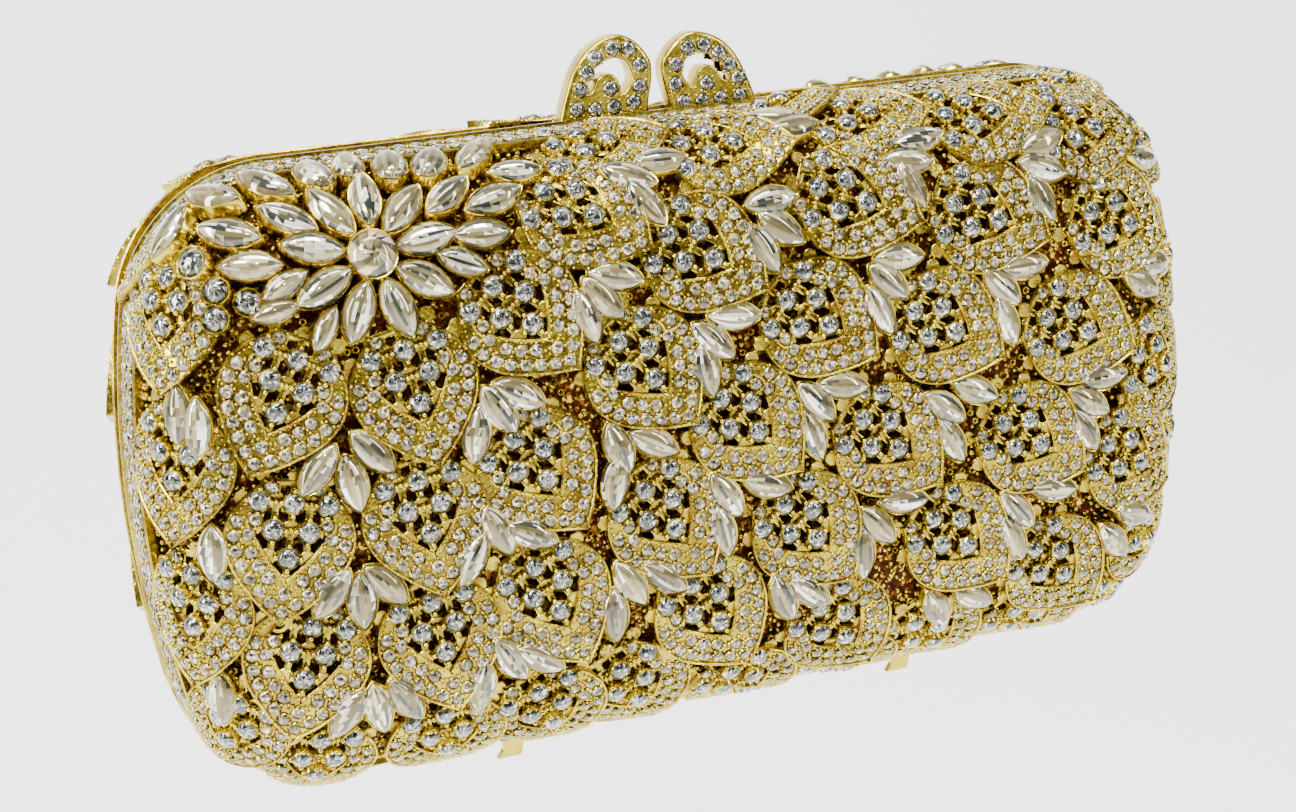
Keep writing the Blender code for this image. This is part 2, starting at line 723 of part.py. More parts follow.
def eyelet(name, side):
    """Loop under the back frame's flange."""
    place = (side * ring_place, ring_row, eyelet_height)
    made = torus(name, eyelet_radius, eyelet_wire_radius, round_sides, place, "Y")
    half = eyelet_base_width / 2
    top = flange_top - seat_clearance
    base = box((side * ring_place - half, ring_row - half, top - eyelet_base_thickness),
               (side * ring_place + half, ring_row + half, top))
    return solved(made, [tool(base)], "UNION")


def chain_ring(name, side):
    """Ring that hangs through its eyelet."""
    place = (side * ring_place, ring_row, eyelet_height - ring_radius)
    return torus(name, ring_radius, ring_wire_radius, ring_sides, place, "X")


def flower(prefix):
    """Centre stone and inner petals of the flower, each stone on its own."""
    centre = in_widths(flower_centre_share)
    around = [polar(flower_stone_radius, 2 * math.pi * step / round_sides) for step in range(round_sides)]
    stone = cut_stone(around, flower_stone_height, petal_table_share)
    works = {prefix + "_flower_centre": set_on_form(stone, centre, 90, petal_lift)}
    for number, degrees in enumerate(flower_ring_degrees, 1):
        across, up = polar(flower_ring_radius, math.radians(degrees))
        stone = set_on_form(petal(1, petal_height), (centre[0] + across, centre[1] + up), degrees, petal_lift)
        works[prefix + "_flower_petal_" + str(number)] = stone
    return [add(mesh_from(work, name), name, "stone") for name, work in works.items()]


def front_pieces():
    """Everything that both halves have, as the front one."""
    pieces = [casting("front_shell"), frame("front_frame")]
    pieces.append(bowl("front_backing", backing_depth, backing_thickness, "backing"))
    pieces.append(bowl("front_lining", lining_depth, lining_thickness, "lining"))
    pieces += flower("front")
    pieces += [foot("front_foot_left", -1), foot("front_foot_right", 1)]
    return pieces


def turned_back(pieces):
    """The same pieces again, turned to the back."""
    made = []
    for piece in pieces:
        copy = bpy.data.objects.new(piece.name.replace("front", "back"), piece.data.copy())
        copy.data.transform(Matrix.Rotation(math.pi, 4, "Z"))
        clutch.objects.link(copy)
        made.append(copy)
    return made


def hold(pieces, parent):
    """Pieces drawn about the bag's middle, set on their feet and carried by the parent."""
    for piece in pieces:
        piece.parent = parent
        piece.location = Vector((0.0, 0.0, stand)) - (parent.location if parent else Vector())


def pivot(name, place):
    made = bpy.data.objects.new(name, None)
    made.location = place
    clutch.objects.link(made)
    return made


front = front_pieces()
back = turned_back(front)
for side, word in ((-1, "left"), (1, "right")):
    front.append(hinge_leaf("hinge_" + word + "_front_leaf", side, True))
    leaf_behind = hinge_leaf("hinge_" + word + "_back_leaf", side, False)
    leaf_behind.data.transform(Matrix.Scale(-1, 4, Vector((0.0, 1.0, 0.0))))
    leaf_behind.data.flip_normals()
    back += [leaf_behind, hinge_pin("hinge_" + word + "_pin", side), eyelet("chain_eyelet_" + word, side)]
    ring = chain_ring("chain_ring_" + word, side)
    hold([ring], pivot("chain_ring_" + word + "_pivot", (side * ring_place, ring_row, eyelet_height + stand)))
front.append(paddle("clasp_left_paddle", -1))
back.append(paddle("clasp_right_paddle", 1))
hold(front, pivot("front_half_pivot", (0.0, 0.0, stand - hinge_drop)))
hold(back, None)
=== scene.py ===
"""Looks of an evening clutch: gold openwork set with cut stones over a dark glitter ground."""
import math

import bpy
import numpy as np
from mathutils import Matrix, Vector
from mathutils.geometry import tessellate_polygon


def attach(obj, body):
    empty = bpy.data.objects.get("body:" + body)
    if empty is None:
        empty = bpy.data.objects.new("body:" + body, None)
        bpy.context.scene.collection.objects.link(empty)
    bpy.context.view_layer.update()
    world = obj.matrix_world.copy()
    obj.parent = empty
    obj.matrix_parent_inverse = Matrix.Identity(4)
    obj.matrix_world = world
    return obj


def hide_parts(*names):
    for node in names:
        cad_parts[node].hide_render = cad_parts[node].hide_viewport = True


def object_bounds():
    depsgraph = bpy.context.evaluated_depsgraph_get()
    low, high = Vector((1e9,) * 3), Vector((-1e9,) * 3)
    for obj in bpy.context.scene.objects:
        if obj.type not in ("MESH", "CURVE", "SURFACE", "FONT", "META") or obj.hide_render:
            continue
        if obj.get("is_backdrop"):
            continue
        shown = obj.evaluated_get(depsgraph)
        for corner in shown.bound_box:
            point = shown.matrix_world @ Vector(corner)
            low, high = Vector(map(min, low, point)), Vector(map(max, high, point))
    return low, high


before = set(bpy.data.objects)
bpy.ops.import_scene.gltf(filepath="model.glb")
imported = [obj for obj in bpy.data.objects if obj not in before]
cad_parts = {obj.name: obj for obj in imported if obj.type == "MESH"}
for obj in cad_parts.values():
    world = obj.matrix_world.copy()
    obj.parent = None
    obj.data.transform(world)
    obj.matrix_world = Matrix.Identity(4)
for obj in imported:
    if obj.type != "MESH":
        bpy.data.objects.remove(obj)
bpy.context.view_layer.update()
chance = np.random.default_rng(7)
MM = 0.001


def distance_along(x, y):
    """Distance from a line's start to each of its points."""
    return np.concatenate([[0], np.cumsum(np.hypot(np.diff(x), np.diff(y)))])


# Outer form of one half, in metres
HALF_LENGTH = 0.095
HALF_HEIGHT = 0.0517
CORNER = 0.02545
BOW = math.radians(10.3)
EDGE_DEPTH = 0.0235
CROWN = 0.003
POWER = 2.49
STAND = 0.0547
END_CORE = (HALF_HEIGHT - CORNER) / math.sin(BOW)
END_CENTRE = HALF_LENGTH - CORNER - END_CORE
CORE_X = END_CENTRE + END_CORE * math.cos(BOW)
CORE_Z = HALF_HEIGHT - CORNER
SEAM_GAP = 0.0023

section = np.linspace(0, math.pi / 2, 801)
PLAN = CORNER * np.sin(section) ** (2 / POWER)
DEPTH = EDGE_DEPTH * np.clip(np.cos(section), 0, 1) ** (2 / POWER)
ARC = distance_along(PLAN, DEPTH)
SEAM = (ARC[-1] - SEAM_GAP) / MM

# Tip along, tip across and heading of each leaf scale, in mm and degrees
LEAVES = [(20 * u, 20 * v, h) for u, v, h in [
    (-3.95, 0.35, -119), (-2.50, 0.20, -80), (-3.85, -0.85, -103), (-2.55, -0.85, -83),
    (-3.85, -1.85, -105), (-2.50, -1.85, -81), (-3.75, -2.90, -98), (-2.50, -2.90, -84),
    (-1.30, 0.80, -50), (-1.35, -0.50, -57), (-1.40, -1.65, -66), (-1.45, -2.80, -68),
    (-0.60, 1.65, -38), (0.35, 1.20, -35), (0.85, 2.35, -12), (-0.15, 2.65, -5),
    (-0.35, 0.20, -52), (1.30, 0.50, -37), (0.55, -0.35, -47), (1.85, -0.70, -44),
    (-0.30, -1.10, -57), (1.00, -1.40, -52), (0.05, -2.00, -58), (1.30, -2.40, -52),
    (-0.65, -2.70, -62), (0.45, -3.00, -58), (1.80, 1.55, -25), (3.00, 1.25, -25),
    (3.25, 2.35, -8), (2.15, 2.50, -12), (2.50, 0.30, -32), (3.85, 0.15, -25),
    (4.35, 1.05, -22), (3.30, -0.85, -35), (2.50, -1.70, -44), (4.40, -1.20, -32),
    (3.50, -2.20, -45), (4.15, 2.00, -15), (4.85, -0.30, -22), (2.30, -2.80, -50),
    (5.15, 0.65, -20), (4.60, -2.10, -40),
    (-4.55, 1.00, -95), (-4.60, -0.20, -95), (-4.60, -1.40, -95), (-5.10, 1.75, -95),
    (-4.60, -2.45, -110), (1.50, -3.10, -55), (3.35, -2.95, -50), (4.35, -2.85, -45),
    (5.15, -1.05, -28), (4.95, 1.75, -25), (4.35, 2.75, -10), (1.55, 3.00, -8),
]]

# Marquise stones of the fans: centre along, centre across and heading, in mm and degrees
MARQUISES = [
    (-68.5, 6.5, -130), (-63.5, 3.5, -80), (-60, 8, -50), (-68.5, -13.5, -130), (-64, -15.5, -90),
    (-60, -13.5, -50), (-68, -34, -125), (-63, -34, -80), (-58.5, -33.5, -60), (-43.5, 8, -100),
    (-39.5, 11.5, -60), (-36, 13.5, -30), (-46, -12, -120), (-41.5, -8, -65), (-36, -9.5, -28),
    (-46, -34, -100), (-41, -30, -60), (-36, -31, -35), (-24, 24, -72), (-21, 26.5, -50), (-18.5, 29.7, -15),
    (-21.5, -3.5, -100), (-20.5, 2, -70), (-14.5, 2, -30), (-23, -26, -90), (-20, -21, -60), (-14, -21, -40),
    (-13, 45.5, -25), (-7, 47.5, 0), (-11.5, 40.5, -60), (-4.5, 12.5, -80), (-3, 17, -45), (1, 20.5, -8),
    (-3.5, -15, -78), (-2.5, -9, -58), (5, -8.5, -20), (7, 30.5, -62), (10.5, 33.5, -38), (9.5, 38, 5),
    (13.5, -1.5, -72), (14.5, 4, -50), (19.5, 6, -12), (7, -29, -70), (12, -29, -40), (22, -24, -90),
    (25, -19.5, -50), (30, -16, -5), (27, 17.5, -65), (29, 22, -42), (31.2, 25.8, -5), (39.5, -7, -62),
    (38.5, -1, -38), (44.5, 1, -25), (35, 37.5, -70), (35.5, 41.5, -8), (38.5, 45, 5), (51.5, -27, -65),
    (52.5, -22, -50), (60, -19.5, -10), (51, 12, -70), (50.5, 18, -45), (55, 21, 0), (59, 32, -65),
    (60, 37, -20), (61, 41.5, 15), (66.5, -10, -60), (67.5, -5, -35), (70.5, -1, 0), (80, 14, -30),
    (84, 17, -5), (84, 36, -10), (73, -32, -50), (78, -28, -20), (44, -37, -30), (37, -38, -60),
    (-86, 15, -95), (-89, 17, -95), (-86, -5, -95), (-88, -30, -95), (16, 54, -15), (18, 51, 5),
    (-88.5, 47.5, 55),
]

# Flower: its centre, the inner petals' headings, and the outer ones' centre, heading and size
FLOWER = (-56.5, 38.0)
INNER = [8, 46, 84, 122, 166, 206, 248, 289, 328]
OUTER = [(20 * u, 20 * v, h, s) for u, v, h, s in [
    (-3.86, 2.22, 160, 1.0), (-3.74, 1.94, 175, 0.95), (-3.51, 1.76, 205, 0.8), (-3.61, 1.58, 190, 0.75),
    (-3.25, 1.40, 240, 0.75), (-3.39, 2.27, 148, 0.95), (-3.48, 2.63, 140, 1.0), (-3.96, 2.62, 155, 1.0),
    (-3.08, 2.67, 118, 0.9), (-2.80, 2.72, 90, 0.8), (-2.49, 2.66, 80, 0.9), (-2.18, 2.63, 60, 0.9),
    (-2.14, 2.29, 35, 0.95), (-1.79, 2.21, 15, 1.0), (-1.95, 1.95, -3, 0.95), (-2.14, 1.76, -25, 0.85),
    (-1.80, 2.68, 45, 0.95), (-1.55, 2.43, -5, 0.85),
]]
ROUND_BEZELS = [(-83.4, 40.3, 2.3), (-80.3, 35.6, 1.9), (-75.9, 33.4, 1.9), (-80.9, 31.4, 1.9)]

# Lift of a leaf scale, and its band's breadth at places back from the tip
LEAF_LENGTH = 23.5
TIP_LIFT = 0.45
ROOT_LIFT = -1.9
BAND = [(0, 5.8), (9, 5.7), (13, 5.2), (17, 3.1), (23, 1.2)]
LEAF_PLATE = 1.0
LIP_LIFT = -0.35
LIP_RISE = 0.28


# The form
def core_of(u, v):
    """Distance in metres past the flat face, and the outward direction there."""
    across, up = np.abs(u), np.abs(v)
    side_x, side_z = np.where(u < 0, -1.0, 1.0), np.where(v < 0, -1.0, 1.0)
    reach = np.hypot(across - END_CENTRE, up)
    bearing = np.arctan2(up, across - END_CENTRE)
    end = (across > CORE_X) & (bearing <= BOW)
    over_x, over_z = np.maximum(across - CORE_X, 0), np.maximum(up - CORE_Z, 0)
    plain = np.hypot(over_x, over_z)
    safe = np.where(plain > 0, plain, 1)
    nx = np.where(end, np.cos(bearing), over_x / safe) * side_x
    nz = np.where(end, np.sin(bearing), over_z / safe) * side_z
    return np.where(end, np.maximum(reach - END_CORE, 0), plain), nx, nz


def form(u, v, lift):
    """Points of the front half at flat places and lifts in mm; rows of x, y, z in metres."""
    u, v, lift = [np.asarray(a, float) * MM for a in np.broadcast_arrays(u, v, lift)]
    far, nx, nz = core_of(u, v)
    plan = np.interp(far, ARC, PLAN)
    depth = np.where(far > ARC[-1], ARC[-1] - far, np.interp(far, ARC, DEPTH))
    x = u + nx * (plan - far)
    z = v + nz * (plan - far)
    fall_x = np.maximum(1 - (x / HALF_LENGTH) ** 2, 0)
    fall_z = np.maximum(1 - (z / HALF_HEIGHT) ** 2, 0)
    steep = (plan / CORNER) ** (POWER - 1) / CORNER
    flat = (np.maximum(depth, 0) / EDGE_DEPTH) ** (POWER - 1) / EDGE_DEPTH
    out = np.stack([steep * nx + flat * 2 * CROWN * x / HALF_LENGTH ** 2 * fall_z, -flat,
                    steep * nz + flat * 2 * CROWN * z / HALF_HEIGHT ** 2 * fall_x], -1)
    out /= np.linalg.norm(out, axis=-1, keepdims=True)
    return np.stack([x, -depth - CROWN * fall_x * fall_z, z + STAND], -1) + out * lift[..., None]


def held(u, v):
    """Flat places in mm, drawn back so that none passes the seam."""
    u, v = np.asarray(u, float), np.asarray(v, float)
    far, nx, nz = core_of(u * MM, v * MM)
    over = np.maximum(far / MM - SEAM, 0)
    return u - nx * over, v - nz * over


def axes_at(u, v, lift, degrees):
    """Origins and axes (aside, ahead, out) of pieces that sit on the form with a heading."""
    u, v, lift, degrees = [np.asarray(a, float) for a in np.broadcast_arrays(u, v, lift, degrees)]
    origin = form(u, v, lift)
    out = form(u, v, lift + 0.5) - origin
    out /= np.linalg.norm(out, axis=-1, keepdims=True)
    angle = np.radians(degrees)
    ahead = form(u + 0.2 * np.cos(angle), v + 0.2 * np.sin(angle), lift) - origin
    ahead -= out * np.sum(ahead * out, -1, keepdims=True)
    ahead /= np.linalg.norm(ahead, axis=-1, keepdims=True)
    return origin, np.stack([np.cross(ahead, out), ahead, out], -1)


# Meshes
class Shape:
    """Faces kept as triangles and quads, with a value for each triangle that picks a stone facet's painted
    reflection.
    """

    def __init__(self):
        self.points, self.tris, self.quads, self.tones, self.count = [], [], [], [], 0

    def put(self, points, tris=(), quads=(), tones=0.0):
        if len(tris):
            self.tris.append(np.asarray(tris) + self.count)
            self.tones.append(np.broadcast_to(tones, len(tris)))
        if len(quads):
            self.quads.append(np.asarray(quads) + self.count)
        self.points.append(np.asarray(points, float))
        self.count += len(points)

    def stamp(self, cut, origins, axes, sizes):
        """One copy of the cut for each origin; sizes are mm along aside, ahead and out, or one for all."""
        if not len(origins):
            return
        sizes = np.broadcast_to(np.asarray(sizes, float) * MM, (len(origins), 3))
        local = cut["points"][None] * sizes[:, None]
        points = np.einsum("nij,nkj->nki", axes, local) + origins[:, None]
        shift = (np.arange(len(origins)) * len(cut["points"]))[:, None, None]
        # Random values per facet group, which the stone materials turn into painted reflections
        tones = chance.random((len(origins), cut["groups"].max() + 1))
        tris = (cut["tris"][None] + shift).reshape(-1, 3)
        self.put(points.reshape(-1, 3), tris, (), tones[:, cut["groups"]].ravel())

    def mesh(self, name, turned=False):
        points = np.concatenate(self.points)
        if turned:
            points = points * (-1, -1, 1)
        parts = [np.concatenate(p) for p in (self.tris, self.quads) if p]
        tones = np.concatenate(self.tones + [np.zeros(len(p)) for p in self.quads])
        mesh = bpy.data.meshes.new(name)
        mesh.vertices.add(len(points))
        mesh.vertices.foreach_set("co", points.astype(np.float32).ravel())
        corners = np.concatenate([p.ravel() for p in parts]).astype(np.int32)
        mesh.loops.add(len(corners))
        mesh.loops.foreach_set("vertex_index", corners)
        sides = np.concatenate([np.full(len(p), p.shape[1]) for p in parts])
        mesh.polygons.add(len(sides))
        mesh.polygons.foreach_set("loop_start", np.concatenate([[0], np.cumsum(sides)[:-1]]).astype(np.int32))
        mesh.update(calc_edges=True)
        # Face attribute that the stone materials read as each facet's painted reflection
        tone = mesh.attributes.new("tone", "FLOAT", "FACE")
        tone.data.foreach_set("value", tones.astype(np.float32))
        return mesh


def cut_of(points, tris, groups):
    """Small form for stamping; its faces of one group share one painted reflection."""
    return {"points": np.array(points, float), "tris": np.array(tris), "groups": np.array(groups)}


def rings_cut(rings, centre=None):
    """Facets between rings of equal counts, closed at the centre if there is one."""
    count = len(rings[0])
    points = [p for ring in rings for p in ring]
    tris, groups = [], []
    for level in range(len(rings) - 1):
        for step in range(count):
            a, b = level * count + step, level * count + (step + 1) % count
            c, d = a + count, b + count
            tris += [(a, b, d), (a, d, c)]
            group = level * 2 * count + 2 * step
            groups += [group, group + 1]
    if centre is not None:
        points.append(centre)
        base = (len(rings) - 1) * count
        for step in range(count):
            tris.append((base + step, base + (step + 1) % count, len(points) - 1))
            groups.append(2 * base + step)
    return cut_of(points, tris, groups)


def round_cut(count, rings, centre=None):
    """Facets between round rings given by radius, height and, where it isn't 0, a turn in steps."""
    made = []
    for radius, height, *turn in rings:
        angles = [2 * math.pi * (i + sum(turn)) / count for i in range(count)]
        made.append([(radius * math.cos(angle), radius * math.sin(angle), height) for angle in angles])
    return rings_cut(made, centre)


POINTED = 0.55
LENS_SIDES = 20


def lens(scale, height, sharp=1.0):
    """Ring of a marquise stone, one unit long each way; an oval one where sharp is 0."""
    ring = []
    for i in range(LENS_SIDES):
        angle = 2 * math.pi * i / LENS_SIDES
        along = math.sin(angle)
        wide = math.copysign(abs(math.cos(angle)) ** (1 + POINTED * sharp), math.cos(angle))
        ring.append((wide * scale, along * (1 - (1 - scale) * 0.85), height))
    return ring


# Crown of a marquise or oval stone from side to side: place and height
ACROSS = [(-1, 0.20), (-0.80, 0.56), (-0.50, 0.84), (-0.22, 0.90), (0.04, 1.02), (0.30, 0.88), (0.54, 0.84),
          (0.82, 0.54), (1, 0.20)]


def long_cut(sharp, blunt):
    """Marquise or oval stone with long facets from tip to tip, each split into a few patches of painted
    reflection.
    """
    reach, tip, girdle = 0.99, 0.24, ACROSS[0][1]
    stations = [math.sin(math.pi * i / 10) * reach for i in range(-4, 5)]
    points = [(0, -reach, tip)]
    for along in stations:
        wide = (1 - (along / reach) ** 2) ** ((1 + POINTED * sharp) / 2) * reach
        fall = (1 - abs(along) ** blunt) ** 0.6
        points += [(place * wide, along, girdle + (height - girdle) * fall) for place, height in ACROSS]
    points.append((0, reach, tip))
    width, last = len(ACROSS), len(points) - 1
    tris, groups = [], []
    for strip in range(width - 1):
        shift = strip * 5 % 3 * 0.8
        for section in range(len(stations) + 1):
            before, after = 1 + (section - 1) * width + strip, 1 + section * width + strip
            first, second = (before, before + 1, after + 1), (before, after + 1, after)
            if section == 0:
                first, second = None, (0, after + 1, after)
            if section == len(stations):
                first, second = (before, before + 1, last), None
            for face, late in ((first, 0.5), (second, 0.0)):
                if face:
                    tris.append(face)
                    groups.append(strip * 6 + int((section + late + shift) / 2.2))
    return cut_of(points, tris, groups)


MARQUISE = long_cut(1.0, 2.6)
OVAL = long_cut(0.0, 3.0)
PAVE = round_cut(8, [(1, 0), (0.98, 0.20), (0.60, 0.38, 0.5)], (0, 0, 0.42))
ROUND = round_cut(14, [(1, -0.2), (1, 0.20), (0.60, 0.54, 0.5), (0.22, 0.58, 0.5)], (0, 0, 0.56))
BEAD = cut_of([(1, 0, 0), (0, 1, 0), (-1, 0, 0), (0, -1, 0), (0, 0, 1), (0.7, 0.7, -1), (-0.7, 0.7, -1),
               (-0.7, -0.7, -1), (0.7, -0.7, -1)],
              [(0, 1, 4), (1, 2, 4), (2, 3, 4), (3, 0, 4), (0, 5, 1), (1, 6, 2), (2, 7, 3), (3, 8, 0)],
              range(8))
BALL = round_cut(7, [(1, -0.6), (0.95, 0.25, 0.5), (0.55, 0.82)], (0, 0, 1.0))
DOT = round_cut(5, [(1, -0.6), (0.72, 0.55, 0.5)], (0, 0, 0.95))
RINGLET = round_cut(9, [(0.55, -0.6), (0.55, 0.5), (0.80, 0.72), (1.05, 0.5), (1.05, -0.6)])
PAVE_RIM = round_cut(8, [(0.985, 0.02), (1.03, 0.22), (1.13, 0.0)])
ROUND_RIM = round_cut(14, [(0.98, -0.3), (0.99, 0.24), (1.10, 0.34), (1.20, 0.20), (1.24, -0.9)])
SLIM_RIM = round_cut(14, [(0.98, -0.1), (0.99, 0.18), (1.04, 0.24), (1.09, 0.16), (1.10, -0.7)])
FLUSH_RIM = round_cut(20, [(0.96, 0.0), (0.99, 0.18), (1.05, 0.22), (1.10, 0.05), (1.12, -0.6)])
BEZEL = [(0.98, 0.0), (1.0, 0.22), (1.05, 0.26), (1.10, 0.14), (1.13, -1.1)]
LENS_RIM = rings_cut([lens(scale, height) for scale, height in BEZEL])
OVAL_RIM = rings_cut([lens(scale, height, 0.0) for scale, height in BEZEL])

# One leaf scale in its own flat frame, in mm: x aside, back from the tip
SIDE_BACK = np.array([0, 1.5, 3.1, 4.6, 6.6, 9.7, 13.8, 17.5, 20.0, 22.5])
SIDE_HALF = np.array([0, 2.0, 4.0, 5.5, 7.4, 9.4, 10.3, 9.2, 7.2, 4.8])
ROOT_BACK = 21.5


def smooth_line(x, y, count):
    """Evenly spaced points along a smooth curve through the given ones."""
    steps = distance_along(x, y)
    fine = np.linspace(0, steps[-1], 400)
    out = []
    for values in (x, y):
        slope = np.gradient(values, steps)
        i = np.clip(np.searchsorted(steps, fine) - 1, 0, len(steps) - 2)
        span = steps[i + 1] - steps[i]
        t = (fine - steps[i]) / span
        out.append((2 * t ** 3 - 3 * t ** 2 + 1) * values[i] + (t ** 3 - 2 * t ** 2 + t) * span * slope[i]
                   + (-2 * t ** 3 + 3 * t ** 2) * values[i + 1] + (t ** 3 - t ** 2) * span * slope[i + 1])
    px, py = out
    far = distance_along(px, py)
    even = np.linspace(0, far[-1], count)
    return np.interp(even, far, px), np.interp(even, far, py)


edge_x, edge_back = smooth_line(SIDE_HALF, SIDE_BACK, 30)
tangent = np.stack([np.gradient(edge_x), np.gradient(edge_back)], -1)
tangent /= np.linalg.norm(tangent, axis=-1, keepdims=True)
inward = np.stack([-tangent[:, 1], tangent[:, 0]], -1)
inward[0] = inward[1]


def half_at(back):
    return np.interp(back, edge_back, edge_x)


def breadth_at(back):
    """Breadth of a leaf's band beside its edge."""
    return float(np.interp(back, *zip(*BAND)))


def offset_line(inset):
    """Line parallel to a leaf's right side, from the axis to the root."""
    x = edge_x + inward[:, 0] * inset
    back = edge_back + inward[:, 1] * inset
    fine = np.linspace(0, 1, 600)
    steps = np.linspace(0, 1, len(x))
    x, back = np.interp(fine, steps, x), np.interp(fine, steps, back)
    start = int(np.argmax(x > 0))
    return x[start:], back[start:]


PAVE_INSETS = (1.60, 3.85)
PAVE_GAP = 2.36
PAVE_RADIUS = 1.12
BIG = np.array([(0, 10.7), (-2.7, 14.9), (2.7, 14.9), (0, 19.2), (-5.4, 19.1), (5.4, 19.1)])
BIG_GAP = 2.75
BIG_RADIUS = 1.72


def pave_places():
    """Stones in two staggered rows inside the rims, as (x, back)."""
    kept = []
    for inset in PAVE_INSETS:
        x, back = offset_line(inset)
        line = [(px, pb) for px, pb in zip(x, back) if px > PAVE_GAP / 2 and pb < ROOT_BACK]
        for px, pb in [(0.0, back[0] + 0.2)] + line:
            clear = all(math.hypot(px - qx, pb - qb) >= PAVE_GAP for qx, qb in kept)
            if clear and all(math.hypot(px - qx, pb - qb) >= BIG_GAP for qx, qb in BIG):
                kept.append((px, pb))
                if px > 0:
                    kept.append((-px, pb))
    return np.array(kept)


pave = pave_places()


def leaf_lift(back):
    """Lift of a leaf's face, from the raised tip down to the root."""
    return TIP_LIFT + (ROOT_LIFT - TIP_LIFT) * np.clip(np.asarray(back, float) / LEAF_LENGTH, -0.05, 1.05)


def on_leaf(leaf, x, back):
    """Flat places of a leaf's own points."""
    u, v, degrees = leaf
    angle = math.radians(degrees)
    ahead, aside = (math.cos(angle), math.sin(angle)), (-math.sin(angle), math.cos(angle))
    x, back = np.asarray(x, float), np.asarray(back, float)
    return u - ahead[0] * back - aside[0] * x, v - ahead[1] * back - aside[1] * x


# Petals as (u, v, heading, half length, half width)
PETAL_REACH = 8.8
PETAL_MARGIN = 0.9
FLOWER_RADIUS = 4.6
OVERLAP = 0.12
flower_petals = [(FLOWER[0] + PETAL_REACH * math.cos(math.radians(d)),
                  FLOWER[1] + PETAL_REACH * math.sin(math.radians(d)), d, 4.7, 2.2) for d in INNER]
flower_petals += [(u, v, d, 4.8 * s, 2.3 * s) for u, v, d, s in OUTER]


def seen_from(u, v, centre_u, centre_v, degrees):
    """Flat places as distances ahead and aside of a centre with a heading."""
    angle = math.radians(degrees)
    du, dv = u - centre_u, v - centre_v
    return du * math.cos(angle) + dv * math.sin(angle), dv * math.cos(angle) - du * math.sin(angle)


def hidden(u, v, lift, own=None, margin=0.3):
    """Which flat places lie under another leaf, or under the flower."""
    u, v, lift = [np.asarray(a, float) for a in np.broadcast_arrays(u, v, lift)]
    under = np.zeros(len(u), bool)
    for number, leaf in enumerate(LEAVES):
        if number != own:
            ahead, aside = seen_from(u, v, *leaf)
            inside = (ahead < margin) & (ahead > -ROOT_BACK)
            inside &= np.abs(aside) < half_at(np.clip(-ahead, 0, 22)) + margin
            under |= inside & (leaf_lift(-ahead) > lift + OVERLAP)
    for pu, pv, degrees, long, wide in flower_petals:
        ahead, aside = seen_from(u, v, pu, pv, degrees)
        under |= (ahead / (long + PETAL_MARGIN)) ** 2 + (aside / (wide + PETAL_MARGIN)) ** 2 < 1
    return under | (np.hypot(u - FLOWER[0], v - FLOWER[1]) < FLOWER_RADIUS)


def to_seam(u, v):
    """Distance in mm along the form from flat places to the seam."""
    far, _, _ = core_of(np.asarray(u, float) * MM, np.asarray(v, float) * MM)
    return SEAM - far / MM


def settle(u, v, lift):
    """Lifts that come down to the lip near the seam."""
    return np.minimum(lift, LIP_LIFT + LIP_RISE * np.maximum(to_seam(u, v), 0))


# Materials
def shader_of(name):
    """New material with a Principled shader, its tree and the shader."""
    made = bpy.data.materials.new(name)
    made.use_nodes = True
    tree = made.node_tree
    tree.nodes.clear()
    output = tree.nodes.new("ShaderNodeOutputMaterial")
    shader = tree.nodes.new("ShaderNodeBsdfPrincipled")
    tree.links.new(shader.outputs["BSDF"], output.inputs["Surface"])
    return made, tree, shader


def texture(tree, kind, scale):
    """Texture that lies in the object's own places."""
    place = tree.nodes.new("ShaderNodeTexCoord")
    made = tree.nodes.new(kind)
    made.inputs["Scale"].default_value = scale
    tree.links.new(place.outputs["Object"], made.inputs["Vector"])
    return made


def noise(tree, scale, detail=3.0):
    made = texture(tree, "ShaderNodeTexNoise", scale)
    made.inputs["Detail"].default_value = detail
    return made


def ramp(tree, source, stops, interpolation="LINEAR"):
    """Colours at places from 0 to 1 of the source."""
    made = tree.nodes.new("ShaderNodeValToRGB")
    made.color_ramp.interpolation = interpolation
    while len(made.color_ramp.elements) < len(stops):
        made.color_ramp.elements.new(0.5)
    for element, (place, colour) in zip(made.color_ramp.elements, stops):
        element.position = place
        element.color = (*colour, 1.0)
    tree.links.new(source, made.inputs["Fac"])
    return made


def bump(tree, shader, height, strength, distance):
    made = tree.nodes.new("ShaderNodeBump")
    made.inputs["Strength"].default_value = strength
    made.inputs["Distance"].default_value = distance
    tree.links.new(height, made.inputs["Height"])
    tree.links.new(made.outputs["Normal"], shader.inputs["Normal"])


def gold(name, light, deep, low_rough, high_rough, grain):
    """Pale plated gold with faint cloudiness and cast grain."""
    made, tree, shader = shader_of(name)
    cloud = noise(tree, 240.0)
    tint = ramp(tree, cloud.outputs["Fac"], [(0.30, deep), (0.62, light)])
    tree.links.new(tint.outputs["Color"], shader.inputs["Base Color"])
    shader.inputs["Metallic"].default_value = 1.0
    spread = tree.nodes.new("ShaderNodeMapRange")
    spread.inputs["From Min"].default_value = 0.3
    spread.inputs["From Max"].default_value = 0.7
    spread.inputs["To Min"].default_value = low_rough
    spread.inputs["To Max"].default_value = high_rough
    fine = noise(tree, 1400.0, 4.0)
    tree.links.new(fine.outputs["Fac"], spread.inputs["Value"])
    tree.links.new(spread.outputs["Result"], shader.inputs["Roughness"])
    bump(tree, shader, fine.outputs["Fac"], grain, 0.0002)
    return made


